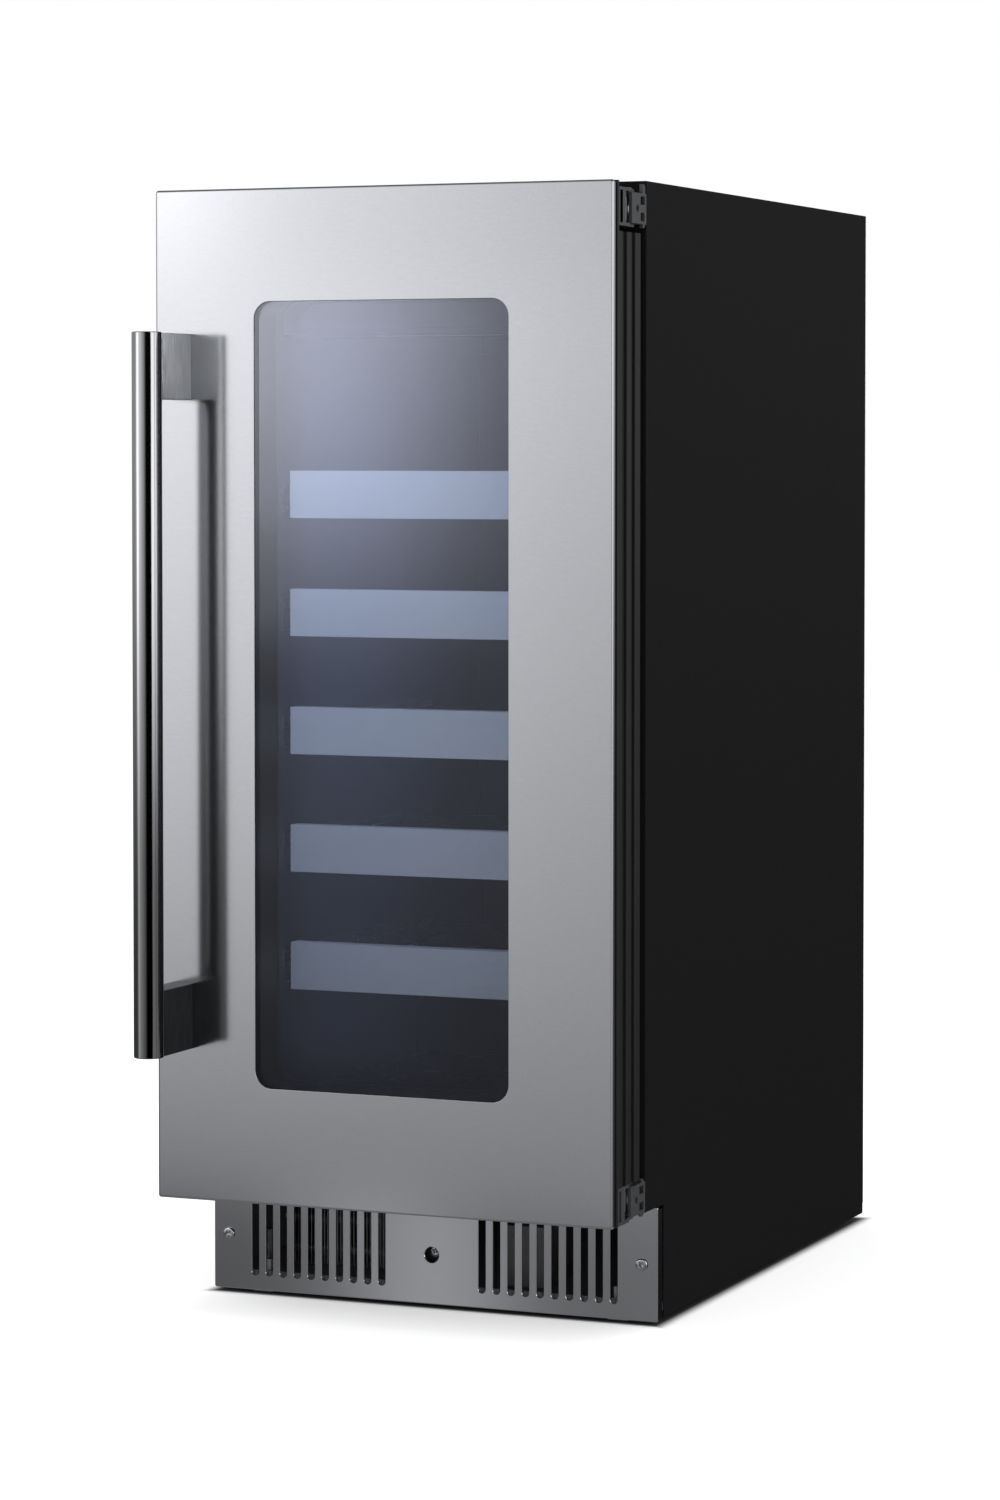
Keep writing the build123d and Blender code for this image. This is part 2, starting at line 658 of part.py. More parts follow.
def corner_recesses(d0=RECESS_D, d1=DOOR_BACK + 1):
    """Room for the hinges in the two corners of the door on the hinge side."""
    upper = block(RECESS_X, HALF_W + 1, d0, d1, RECESS_TOP_Z, DOOR_TOP + 1)
    return upper + block(RECESS_X, HALF_W + 1, d0, d1, DOOR_BOTTOM - 1, RECESS_BOTTOM_Z)


def handle_screw_places():
    """Heights of the two handle screws, in the middle of each post."""
    return [BAR_Z0 + POST_INSET + POST_H / 2, BAR_Z1 - POST_INSET - POST_H / 2]


def door_skin():
    """Stainless front, folded back at its edges, with the window cut out."""
    outer = panel(HALF_W, DOOR_BOTTOM, DOOR_TOP)
    inside = panel(HALF_W - SKIN_T, DOOR_BOTTOM + SKIN_T, DOOR_TOP - SKIN_T)
    face = outer - window_unit(0, WINDOW_R)
    for z in handle_screw_places():
        face -= Pos(BAR_X, z) * RegularPolygon(3.2, 8, major_radius=False)
    return from_front(face, 0, SKIN_T) + from_front(outer - inside, SKIN_T, SKIN_RETURN)


def door_frame():
    """Black plastic frame whose outer edge is ribbed along its length."""
    layers = [
        (SKIN_T, SKIN_RETURN, SKIN_T), (SKIN_RETURN, 8.5, 2.0), (8.5, 19.0, 0.0),
        (19.0, 28.0, RIB_GROOVE), (28.0, 37.0, 0.0), (37.0, 45.0, RIB_GROOVE), (45.0, DOOR_BACK, 0.0),
    ]
    inside = panel(HALF_W - STILE_W, DOOR_BOTTOM + BOTTOM_RAIL_H, DOOR_TOP - TOP_RAIL_H)
    frame = None
    for d0, d1, inset in layers:
        outer = panel(HALF_W - inset, DOOR_BOTTOM + inset, DOOR_TOP - inset)
        layer = from_front(outer - inside, d0, d1)
        frame = layer if frame is None else frame + layer
    return frame - corner_recesses() - screw_pockets()


def screw_pockets():
    """Room behind the skin for the heads of the handle screws."""
    pockets = [facet_bar_y(BAR_X, z, 8.0, SKIN_T, 6.0, 8) for z in handle_screw_places()]
    return pockets[0] + pockets[1]


def door_insulation():
    """Foam ring between the plastic frame and the glass unit."""
    ring = panel(HALF_W - STILE_W, DOOR_BOTTOM + BOTTOM_RAIL_H, DOOR_TOP - TOP_RAIL_H)
    ring -= window_unit(UNIT_MARGIN)
    return from_front(ring, SKIN_T, DOOR_BACK - DOOR_PANEL_T) - screw_pockets()


def door_liner():
    """Inner panel of the door, turned in behind the glass unit."""
    opening = panel(REAR_WINDOW_HALF, WINDOW_BOTTOM, WINDOW_TOP + 1.4, WINDOW_R)
    sheet = panel(HALF_W - STILE_W, DOOR_BOTTOM + BOTTOM_RAIL_H, DOOR_TOP - TOP_RAIL_H) - opening
    flange = window_unit(UNIT_MARGIN) - opening
    rear_glass = INNER_GLASS_D + GLASS_T
    panel_front = DOOR_BACK - DOOR_PANEL_T
    return from_front(sheet, panel_front, DOOR_BACK) + from_front(flange, rear_glass, panel_front)


def window_reveal():
    """Black spacer between the two panes."""
    ring = window_unit(UNIT_MARGIN) - window_unit(0.8, WINDOW_R)
    return from_front(ring, SKIN_T + GLASS_T, INNER_GLASS_D)


def glass_pane(d0):
    return from_front(window_unit(UNIT_MARGIN), d0, d0 + GLASS_T)


def gasket():
    """Magnetic seal: a foot in the door panel, a bellows and the magnet's pocket."""
    foot_back, magnet_front = 58.5, 64.5
    sections = [(DOOR_BACK, foot_back, 2.0, 12.0), (foot_back, magnet_front, 4.0, 8.0),
                (magnet_front, GASKET_BACK, 0.0, 16.0)]
    seal = None
    for d0, d1, inset, width in sections:
        outer = panel(GASKET_HALF - inset, GASKET_BOTTOM + inset, GASKET_TOP - inset)
        inset += width
        inner = panel(GASKET_HALF - inset, GASKET_BOTTOM + inset, GASKET_TOP - inset)
        ring = from_front(outer - inner, d0, d1)
        seal = ring if seal is None else seal + ring
    return seal


def handle_bar():
    """Round stainless bar with broken edges."""
    bar = rod_z(BAR_X, BAR_R - HANDLE_REACH, BAR_R, BAR_Z0, BAR_Z1)
    ends = bar.edges().filter_by(GeomType.CIRCLE)
    return chamfer(ends, 0.8)


def handle_posts():
    """Two flat posts, hollowed at the front to the bar's curve and bored for their screws."""
    bar = rod_z(BAR_X, BAR_R - HANDLE_REACH, BAR_R + 0.02, BAR_Z0 - 1, BAR_Z1 + 1)
    posts = []
    for z in handle_screw_places():
        post = block(BAR_X - POST_W / 2, BAR_X + POST_W / 2, BAR_R - HANDLE_REACH, 0,
                     z - POST_H / 2, z + POST_H / 2)
        posts.append(post - bar - facet_bar_y(BAR_X, z, 3.1, -25.0, 1.0, 8))
    return group(posts)


def handle_screws():
    """Hexagon screws from behind the skin into the posts."""
    return group(
        hex_head(BAR_X, z, SKIN_T, -1, across_flats=11.0, height=4.0)
        + facet_bar_y(BAR_X, z, 2.6, -20.0, SKIN_T, 6)
        for z in handle_screw_places())


# ---------------------------------------------------------------- hinges
def ear(z0, reach_d0, reach_d1, x0):
    """Flat ear that ends in an eye about the pin."""
    eye = Pos(PIN_X, depth(PIN_D)) * RegularPolygon(EAR_R, 12)
    x1 = PIN_X + EAR_R
    d0, d1 = sorted((reach_d0, reach_d1))
    arm = Pos((x0 + x1) / 2, depth((d0 + d1) / 2)) * Rectangle(x1 - x0, d1 - d0)
    return from_above(eye + arm, z0, z0 + HINGE_T)


def hinge_leaf(z, rise):
    """Fixed leaf: a foot on the cabinet's front, a pierced side web and two eyes.

    z is the hinge's bottom; the web's rear part stands this much higher than the hinge.
    """
    z0 = z + HINGE_T + HINGE_GAP
    z1 = z + HINGE_H - HINGE_T - HINGE_GAP
    foot_d = CAB_FRONT - HINGE_T
    web_x = HALF_W - 3.0
    web_d0 = PIN_D - sqrt(LEAF_SWEEP_R ** 2 - (HALF_W - PIN_X) ** 2)
    leaf = block(150.0, HALF_W, foot_d, CAB_FRONT, z0, z1)
    leaf += block(web_x, HALF_W, web_d0, foot_d, z0, z1)
    for ear_z in (z0, z1 - HINGE_T):
        leaf += ear(ear_z, PIN_D, foot_d, PIN_X - EAR_R)
        leaf += block(PIN_X, web_x, PIN_D, foot_d, ear_z, ear_z + HINGE_T)
    leaf -= rod_z(PIN_X, PIN_D, PIN_R + 0.02, z, z + HINGE_H)
    tab = block(web_x, HALF_W, TAB_D, foot_d, z, z + HINGE_H + rise)
    leaf += chamfer(tab.edges().filter_by(Axis.X).group_by(Axis.Y)[-1], 2.0)
    mid = (z0 + z1) / 2
    window_d, window_w, window_h, window_rise, eyelet_r = 60.6, 9.0, 6.0, 6.1, 2.9
    for side in (-1, 1):
        zc = mid + side * window_rise
        leaf -= block(web_x - 0.5, HALF_W + 1, window_d - window_w / 2, window_d + window_w / 2,
                      zc - window_h / 2, zc + window_h / 2)
    eyelet = Plane.YZ * (Pos(depth(PIN_D), mid) * RegularPolygon(eyelet_r, 8))
    return leaf - Pos(web_x - 1, 0, 0) * extrude(eyelet, HALF_W + 1 - web_x)


def leaf_screw_places():
    return (156.5, 167.0)


def hinge_leaves():
    return group([hinge_leaf(BOTTOM_HINGE_Z, 0.0), hinge_leaf(TOP_HINGE_Z, TAB_RISE)])


def door_bracket(z):
    """Channel in the door's corner: its flanges reach the pin above and below the leaf.

    An upright strut joins the flanges at the door's edge.
    """
    z1 = z + HINGE_H
    plate_back = RECESS_D + HINGE_T
    side_x = HALF_W - 2.7
    outer_x = HALF_W - 0.2
    side_back = 35.0
    strut_d0, strut_d1 = 19.5, 26.0
    bracket = block(154.0, outer_x, RECESS_D, plate_back, z, z1)
    bracket += block(side_x, outer_x, strut_d0, strut_d1, z, z1)
    for ear_z in (z, z1 - HINGE_T):
        bracket += ear(ear_z, plate_back, PIN_D, PIN_X - EAR_R)
        bracket += block(PIN_X - EAR_R, outer_x, plate_back, side_back, ear_z, ear_z + HINGE_T)
    bracket -= rod_z(PIN_X, PIN_D, PIN_R + RUN_FIT, z - 1, z1 + 1)
    return bracket


def bracket_screw_places():
    return (160.0, 171.0)


def door_brackets():
    return group(door_bracket(z) for z in (BOTTOM_HINGE_Z, TOP_HINGE_Z))


def hinge_pins():
    """Headed pins that join each leaf to its bracket, one from above and one from below."""
    head_h, head_r = 1.2, 4.4
    pins = []
    for z, seat, upwards in ((BOTTOM_HINGE_Z, BOTTOM_HINGE_Z, -1), (TOP_HINGE_Z, TOP_HINGE_Z + HINGE_H, 1)):
        head_z0, head_z1 = sorted((seat + upwards * RUN_FIT, seat + upwards * (RUN_FIT + head_h)))
        pin = rod_z(PIN_X, PIN_D, PIN_R, min(z, head_z1), max(z + HINGE_H, head_z0))
        head = Pos(PIN_X, depth(PIN_D)) * RegularPolygon(head_r, 12)
        pins.append(pin + from_above(head, head_z0, head_z1))
    return group(pins)


def hinge_screw_height(z):
    """Height of a hinge's screws; z is the hinge's bottom."""
    return z + HINGE_H / 2


def leaf_screws():
    """Screw heads of the fixed leaves, on the cabinet's front."""
    return group(hex_head(x, hinge_screw_height(z), CAB_FRONT - HINGE_T, 1)
                 for z in (BOTTOM_HINGE_Z, TOP_HINGE_Z) for x in leaf_screw_places())


def bracket_screws():
    """Screw heads of the door's brackets, on their backs."""
    return group(hex_head(x, hinge_screw_height(z), RECESS_D + HINGE_T, -1)
                 for z in (BOTTOM_HINGE_Z, TOP_HINGE_Z) for x in bracket_screw_places())


# ---------------------------------------------------------------- every node
def build_all():
    os.makedirs("parts", exist_ok=True)
    makers = [
        outer_wrap, back_panel, rear_grille, cord_gland, cabinet_insulation, liner, bottom_panel,
        base_pan, leg_nuts, kick_plate, kick_brackets, plinth_screws, compressor, compressor_feet,
        drain_tray, condenser, condenser_fan_shroud, condenser_fan_motor, junction_box,
        evaporator_cover, evaporator, evaporator_fan_motor, control_housing, control_glass,
        control_board, led_lens, shelf_runners, hinge_leaves, hinge_pins, leaf_screws,
        door_skin, door_frame, door_insulation, door_liner, window_reveal, gasket,
        handle_bar, handle_posts, handle_screws, door_brackets, bracket_screws,
    ]
    for maker in makers:
        save(maker.__name__, maker())
    save("glass_outer", glass_pane(SKIN_T))
    save("glass_inner", glass_pane(INNER_GLASS_D))
    save("bottom_rack", bottle_rack(CAVITY_FLOOR, STEP_DEPTH - 4.0, CAVITY_HALF - CAVITY_R))
    for level in range(RACK_COUNT):
        save(f"shelf_rack_{level + 1}", bottle_rack(rack_level(level) + RAIL_RISE, RACK_BACK))
        save(f"shelf_strip_{level + 1}", rack_strip(rack_level(level)))
    names = ("leg_front_left", "leg_front_right", "leg_rear_left", "leg_rear_right")
    for name, (x, d) in zip(names, leg_places()):
        save(name, leg(x, d))
    save("condenser_fan", fan_blades(COND_X, COND_FAN_Z, 197.0, 207.0, COND_FAN_R - 3.0, 5, 12.0))
    save("evaporator_fan", fan_blades(0, EVAP_FAN_Z, 516.0, 527.0, EVAP_FAN_R - 4.0, 5, 14.0))


build_all()
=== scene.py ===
import json
import math

import bmesh
import bpy
from bpy.props import FloatProperty, FloatVectorProperty, IntProperty, PointerProperty
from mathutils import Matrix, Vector


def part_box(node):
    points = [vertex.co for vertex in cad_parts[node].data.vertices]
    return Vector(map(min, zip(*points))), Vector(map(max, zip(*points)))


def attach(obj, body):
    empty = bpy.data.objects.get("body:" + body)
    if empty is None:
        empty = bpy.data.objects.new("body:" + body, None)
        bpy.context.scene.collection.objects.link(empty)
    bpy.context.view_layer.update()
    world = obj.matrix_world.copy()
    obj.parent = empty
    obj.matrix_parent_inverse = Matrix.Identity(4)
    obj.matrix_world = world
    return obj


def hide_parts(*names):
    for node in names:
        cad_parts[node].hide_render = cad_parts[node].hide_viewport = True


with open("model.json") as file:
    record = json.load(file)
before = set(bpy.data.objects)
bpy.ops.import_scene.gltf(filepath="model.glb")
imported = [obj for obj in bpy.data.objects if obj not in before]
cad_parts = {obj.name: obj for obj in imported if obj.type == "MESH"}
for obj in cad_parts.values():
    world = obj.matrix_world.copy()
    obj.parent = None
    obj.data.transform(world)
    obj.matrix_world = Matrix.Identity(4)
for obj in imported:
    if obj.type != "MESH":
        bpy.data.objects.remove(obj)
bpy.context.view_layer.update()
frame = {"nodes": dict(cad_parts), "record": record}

bl_info = {
    "name": "Wine cooler",
    "version": (1, 0, 0),
    "blender": (4, 5, 0),
    "location": "View3D > Sidebar > Wine cooler",
    "description": "Dresses the frame of an undercounter wine cooler and sets up its studio",
    "category": "Object",
}

MM = 0.001
DOOR_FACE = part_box("door_skin")[0].y
SLOT_OF = {part["node"]: part["material_slot"] for part in frame["record"]["subparts"]}
BODY_OF = {node: body for body, members in frame["record"]["behaviour"]["bodies"].items()
           for node in members}
RACKS = ["shelf_rack_%d" % i for i in range(1, 6)]
STRIPS = ["shelf_strip_%d" % i for i in range(1, 6)]
LEGS = ["leg_front_left", "leg_front_right", "leg_rear_left", "leg_rear_right"]
PANES = ["glass_outer", "glass_inner"]

# Radius at which a turned profile starts and ends, next to its axis.
TIP = 0.001 * MM
# Width of the glass that the skin and the reveal cover on each side.
GLASS_MARGIN = 8 * MM
WINDOW_CORNER = 13.5 * MM
LEAF_SCREW_X = (0.1565, 0.167)
BRACKET_SCREW_X = (0.160, 0.171)
HINGE_SCREW_HEAD = (7.0 * MM, 2.8 * MM)
# Heights of the kick plate's round hole, of its two screws and of the screw behind the hole.
PLINTH_HOLE_Z = 0.041
PLINTH_SCREW_X, PLINTH_SCREW_Z = 0.174, 0.046
BAY_SCREW_Z = 0.043
# Middle in X and Z, tip radius and hub radius of each fan.
FANS = {
    "condenser_fan": (-0.092, 0.052, 32.6 * MM, 12 * MM),
    "evaporator_fan": (0.0, 0.640, 46.5 * MM, 15 * MM),
}
# Motors, covers and trays, with the rounding of their edges in millimetres.
COOLING_PARTS = {
    "condenser_fan_motor": 0.6, "evaporator_fan_motor": 0.6, "condenser_fan_shroud": 0.4,
    "junction_box": 0.9, "drain_tray": 0.5, "evaporator_cover": 0.5, "compressor_feet": 1.2,
}


def at(depth_mm):
    """Y of a plane that lies this many millimetres behind the door's face."""
    return DOOR_FACE + depth_mm * MM


# ---------------------------------------------------------------- settings
def length(name, text, default, least, most):
    """A length, given in millimetres."""
    return FloatProperty(name=name, description=text, default=default * MM, min=least * MM,
                         max=most * MM, unit="LENGTH")


def number(name, text, default, least, most, **more):
    return FloatProperty(name=name, description=text, default=default, min=least, max=most, **more)


def power(name, text, default, most=50):
    return number(name, text, default, 0, most, unit="POWER")


def whole(name, text, default, least, most):
    return IntProperty(name=name, description=text, default=default, min=least, max=most)


def turn(name, text, degrees):
    return FloatProperty(name=name, description=text, default=math.radians(degrees),
                         subtype="ANGLE", unit="ROTATION")


def tint(name, text, default):
    return FloatVectorProperty(name=name, description=text, default=default, size=3, min=0, max=1,
                               subtype="COLOR")


class CoolerSizes(bpy.types.PropertyGroup):
    """Sizes that the eye notices and the frame leaves open."""

    fold: length("Fold radius", "Outside radius of the folds in the door's skin", 1.9, 0.3, 3)
    edge: length("Broken edge", "Rounding of sheet and moulded edges", 0.35, 0.1, 1)
    corner_steps: whole("Corner steps", "Facets in each round corner of the window", 14, 4, 32)
    slot_count: whole("Slots in a group", "Upright slots in each half of the kick plate", 10, 1, 14)
    thread_pitch: length("Thread pitch", "Rise of the feet's thread in one turn", 1.25, 0.5, 3)
    fin_count: whole("Condenser fins", "Fins in the condenser's block", 40, 8, 80)


class CoolerColours(bpy.types.PropertyGroup):
    """Base colours of the finishes."""

    steel: tint("Stainless sheet", "Brushed sheet of the door and the kick plate", (0.600, 0.606, 0.630))
    bar: tint("Stainless bar", "Handle bar", (0.60, 0.603, 0.615))
    paint: tint("Cabinet paint", "Powder coat of the cabinet", (0.0085, 0.0085, 0.0095))
    plastic: tint("Black plastic", "Door frame, liner and housings", (0.010, 0.010, 0.011))
    outer_glass: tint("Outer pane", "Colour that the outer pane reflects", (0.84, 0.86, 0.98))
    inner_glass: tint("Inner pane", "Colour that the coated inner pane reflects", (0.50, 0.62, 0.98))


class CoolerStage(bpy.types.PropertyGroup):
    """Camera and lights."""

    camera_at: FloatVectorProperty(
        name="Camera", description="Where the camera stands",
        default=(1.3423, -3.2543, 0.6629), size=3, subtype="XYZ", unit="LENGTH")
    camera_yaw: turn("Yaw", "How far the camera turns to the left of straight ahead", 22.619)
    camera_pitch: turn("Pitch", "How far the camera looks up", -2.212)
    lens: number("Lens", "Focal length in millimetres, on a frame 36 mm high", 104.9, 20, 300)
    rise: number("Vertical shift", "Camera shift, as a share of the longer side", -0.0867, -0.5, 0.5)
    key: power("Key light", "Power of the large light over the front left", 25.0, 1000)
    rack_light: power("Rack light", "Power of the light on the rack strips", 6.0)
    bay_light: power("Bay light", "Power of the light on the base pan and the front feet", 12.0)
    cavity_light: power("Cavity light", "Power of the cooler's own light inside", 0.5)
    room: number("Room", "Brightness of the even light from all round", 0.85, 0, 5)
    walls: number("Light walls", "Brightness of the walls that polished metal mirrors", 1.1, 0, 5)
    soft_box: number("Soft box", "Brightness of the soft box that the window mirrors", 2.6, 0, 10)


def sizes():
    return bpy.context.scene.cooler_sizes


def colours():
    return bpy.context.scene.cooler_colours


def stage_settings():
    return bpy.context.scene.cooler_stage


# ---------------------------------------------------------------- shader maths
class Value:
    """A number in a shader tree, so that a finish can be written as sums."""

    def __init__(self, finish, socket):
        self.finish = finish
        self.socket = socket

    def _math(self, operation, first, second):
        node = self.finish.node("ShaderNodeMath", {0: first, 1: second}, operation=operation)
        return Value(self.finish, node.outputs[0])

    def __add__(self, other):
        return self._math("ADD", self, other)

    __radd__ = __add__

    def __sub__(self, other):
        return self._math("SUBTRACT", self, other)

    def __rsub__(self, other):
        return self._math("SUBTRACT", other, self)

    def __mul__(self, other):
        return self._math("MULTIPLY", self, other)

    __rmul__ = __mul__

    def __truediv__(self, other):
        return self._math("DIVIDE", self, other)

    def bigger(self, other):
        return self._math("MAXIMUM", self, other)

    def angle_to(self, other):
        return self._math("ARCTAN2", self, other)

    def clamped(self):
        return self._math("MINIMUM", self.bigger(0.0), 1.0)

    def rise(self, low, high):
        """0 below low, 1 above high, and smooth between."""
        node = self.finish.node("ShaderNodeMapRange", {"Value": self, "From Min": low, "From Max": high},
                                interpolation_type="SMOOTHSTEP")
        return Value(self.finish, node.outputs[0])

    def fall(self, low, high):
        """1 below low, 0 above high."""
        return 1.0 - self.rise(low, high)


def add_node(tree, kind, inputs=None, **settings):
    """Adds a node: its settings first, then the values or links of its sockets."""
    made = tree.nodes.new(kind)
    for key, value in settings.items():
        setattr(made, key, value)
    for key, value in (inputs or {}).items():
        for item in value if isinstance(value, list) else [value]:
            if isinstance(item, Value):
                item = item.socket
            if isinstance(item, bpy.types.NodeSocket):
                tree.links.new(item, made.inputs[key])
            else:
                made.inputs[key].default_value = item
    return made


class Finish:
    """One procedural material, built on the piece's own coordinates."""

    def __init__(self, name, kind="materials"):
        self.material = getattr(bpy.data, kind).new(name)
        self.material.use_nodes = True
        self.tree = self.material.node_tree
        self.tree.nodes.clear()
        out = "ShaderNodeOutputWorld" if kind == "worlds" else "ShaderNodeOutputMaterial"
        self.out = self.tree.nodes.new(out)

    def node(self, kind, inputs=None, **settings):
        return add_node(self.tree, kind, inputs, **settings)

    def place(self, stretch=(1, 1, 1)):
        """Object coordinates, stretched for a pattern."""
        coords = self.node("ShaderNodeTexCoord")
        mapping = self.node("ShaderNodeMapping", {"Vector": coords.outputs["Object"], "Scale": stretch})
        return mapping.outputs["Vector"]

    def noise(self, scale, detail=2.0, roughness=0.5, stretch=(1, 1, 1)):
        made = self.node("ShaderNodeTexNoise", {
            "Vector": self.place(stretch), "Scale": scale, "Detail": detail, "Roughness": roughness})
        return Value(self, made.outputs[0])

    def cells(self, scale, output="Color"):
        made = self.node("ShaderNodeTexVoronoi", {"Vector": self.place(), "Scale": scale})
        return Value(self, made.outputs[output])

    def split(self, output="Object"):
        """The three coordinates as numbers."""
        coords = self.node("ShaderNodeTexCoord")
        parts = self.node("ShaderNodeSeparateXYZ", {0: coords.outputs[output]})
        return [Value(self, socket) for socket in parts.outputs]

    def blend(self, share, first, second):
        """Mixes two colours by a number."""
        made = self.node("ShaderNodeMix", {0: share, 6: self.colour(first), 7: self.colour(second)},
                         data_type="RGBA")
        return made.outputs[2]

    def mix(self, share, first, second):
        """Mixes two surfaces by a number."""
        return self.node("ShaderNodeMixShader", {0: share, 1: first, 2: second}).outputs[0]

    def glow(self, kind, strength, colour=(1.0, 1.0, 1.0)):
        """Light given off by a surface or by the surroundings."""
        return self.node(kind, {"Color": self.colour(colour), "Strength": strength}).outputs[0]

    def colour(self, value):
        if isinstance(value, (Value, bpy.types.NodeSocket)):
            return value
        return tuple(value)[:3] + (1.0,)

    def bump(self, height, distance, strength=1.0):
        made = self.node("ShaderNodeBump", {
            "Height": height, "Distance": distance, "Strength": strength})
        return made.outputs["Normal"]

    def shader(self, **sockets):
        """Principled shader; underscores in the names stand for spaces."""
        inputs = {}
        for key, value in sockets.items():
            name = key.replace("_", " ")
            inputs[name] = self.colour(value) if name in ("Base Color", "Emission Color") else value
        return self.node("ShaderNodeBsdfPrincipled", inputs).outputs[0]

    def done(self, surface):
        self.tree.links.new(surface, self.out.inputs["Surface"])
        return self.material


def scaled(colour, factor):
    return tuple(min(1.0, c * factor) for c in colour)


# ---------------------------------------------------------------- finishes
def plain(name, grain, tone, tones, rough, bump=None, relief=None, **constants):
    """Finish whose grain sets the gloss and the relief, and whose tone blends two colours.

    The noises grain, tone and relief are given by scale, detail, roughness and stretch, and
    tone and relief follow the grain if they are None. Rough is the least roughness and what
    the grain adds. Bump is the relief's distance and strength.
    """
    f = Finish(name)
    fine = f.noise(*grain)
    base = f.blend(f.noise(*tone) if tone else fine, *tones)
    if bump:
        constants["Normal"] = f.bump(f.noise(*relief) if relief else fine, *bump)
    return f.done(f.shader(Base_Color=base, Roughness=fine * rough[1] + rough[0], **constants))


def stainless_sheet():
    """Fine-brushed sheet: short streaks across, a slight cloud, soft gloss."""
    f = Finish("Stainless sheet")
    grain = f.noise(1900.0, 3.0, 0.65, (0.55, 1.0, 1.0))
    streak = f.noise(700.0, 2.0, 0.5, (0.12, 1.0, 1.0))
    cloud = f.noise(5.0, 2.0)
    share = (grain * 0.8 + streak * 0.2).clamped()
    base = f.blend(share, scaled(colours().steel, 0.86), scaled(colours().steel, 1.12))
    return f.done(f.shader(
        Base_Color=base, Metallic=1.0, Roughness=0.09 + grain * 0.05 + cloud * 0.02,
        Normal=f.bump(grain + streak * 0.3, 0.00002, 0.45)))


def stainless_bar():
    """Bar drawn and polished along its length."""
    f = Finish("Stainless bar")
    line = f.noise(1300.0, 3.0, 0.6, (1.0, 1.0, 0.012))
    fine = f.noise(2600.0, 2.0, 0.5, (1.0, 1.0, 0.1))
    base = f.blend(line, scaled(colours().bar, 0.84), scaled(colours().bar, 1.10))
    return f.done(f.shader(Base_Color=base, Metallic=1.0, Roughness=0.08 + line * 0.05,
                           Normal=f.bump(line + fine * 0.5, 0.00002, 0.35)))


def shade_darkened_steel():
    """Ground steel, duller than the bar, made very dark as painted shade: the shade on the lower handle post,
    and on the base pan the shade inside the kick plate's slots.
    """
    f = Finish("Ground post")
    line = f.noise(1500.0, 3.0, 0.6, (1.0, 1.0, 0.03))
    base = f.blend(line.rise(0.34, 0.66), (0.0075, 0.0078, 0.0085), (0.028, 0.029, 0.031))
    return f.done(f.shader(Base_Color=base, Metallic=0.12, Roughness=0.38 + line * 0.12,
                           Specular_IOR_Level=0.1, Normal=f.bump(line, 0.00003, 0.5)))


def cabinet_paint():
    """Satin powder coat with a fine orange peel."""
    f = Finish("Cabinet powder coat")
    peel = f.noise(520.0, 3.0, 0.55)
    dust = f.noise(1900.0, 1.0).rise(0.66, 0.74)
    base = f.blend(dust * 0.35, colours().paint, scaled(colours().paint, 3.2))
    return f.done(f.shader(Base_Color=base, Roughness=0.46 + peel * 0.10, Specular_IOR_Level=0.05,
                           Normal=f.bump(peel, 0.00004, 0.5)))


def zinc_sheet():
    """Hot-dip galvanised sheet with its spangle."""
    f = Finish("Galvanised sheet")
    spangle = f.node("ShaderNodeSeparateColor", {0: f.cells(95.0)})
    flake = Value(f, spangle.outputs[0])
    base = f.blend(flake, (0.43, 0.44, 0.45), (0.50, 0.51, 0.52))
    return f.done(f.shader(Base_Color=base, Metallic=0.9, Roughness=0.38 + flake * 0.08,
                           Normal=f.bump(f.noise(300.0, 3.0), 0.00003, 0.4)))


def hinge_steel():
    """Blackened hinge steel, rubbed a little brighter in spots."""
    f = Finish("Blackened steel")
    rub = f.noise(240.0, 3.0).rise(0.60, 0.78)
    base = f.blend(rub * 0.6 + 0.2, (0.045, 0.046, 0.049), (0.16, 0.163, 0.17))
    return f.done(f.shader(Base_Color=base, Metallic=0.3, Roughness=0.40 - rub * 0.12,
                           Normal=f.bump(f.noise(900.0), 0.00003, 0.4)))


def pale_foam():
    """Cut polyurethane foam."""
    f = Finish("Insulating foam")
    cell = f.cells(700.0, "Distance")
    base = f.blend(f.noise(25.0, 3.0), (0.62, 0.53, 0.30), (0.76, 0.68, 0.45))
    return f.done(f.shader(Base_Color=base, Roughness=0.86 + cell * 0.1,
                           Normal=f.bump(cell, 0.0004, 0.6)))


def green_board():
    """Circuit board with its tracks."""
    f = Finish("Circuit board")
    track = f.cells(420.0, "Distance").rise(0.25, 0.35)
    base = f.blend(track, (0.06, 0.13, 0.05), (0.02, 0.07, 0.03))
    return f.done(f.shader(Base_Color=base, Roughness=0.35 + track * 0.15))


def pane(name, colour, share, gain, haze=0.0):
    """Coated float glass: part mirror, part see-through, with a thin haze if it's asked for; the haze is laid on
    more thickly towards the top and the left as painted light.
    """
    f = Finish(name)
    ripple = f.noise(7.0, 1.0)
    clear = f.node("ShaderNodeBsdfTransparent", {"Color": (0.965, 0.972, 0.99, 1.0)})
    base = f.blend(ripple, scaled(colour, 0.95), scaled(colour, 1.04))
    mirror = f.shader(Base_Color=base, Metallic=1.0, Roughness=0.02 + ripple * 0.02)
    glance = Value(f, f.node("ShaderNodeFresnel", {"IOR": 1.45}).outputs[0])
    surface = f.mix((glance * gain + share).clamped(), clear.outputs[0], mirror)
    if haze:
        # Painted light: the dull veil is even only in part; it thickens towards the top and towards the left of
        # the pane, to brighten those parts as if lit there.
        across, _, up = f.split()
        haze_and_painted_light = up.rise(0.22, 0.70) * 2.2 + ripple * 0.3 + 0.5
        haze_and_painted_light = haze_and_painted_light * haze * (1.0 - across.rise(-0.06, 0.07) * 0.85)
        dull = f.shader(Base_Color=base, Roughness=0.6, Specular_IOR_Level=0.0)
        surface = f.mix(haze_and_painted_light, surface, dull)
    return f.done(surface)


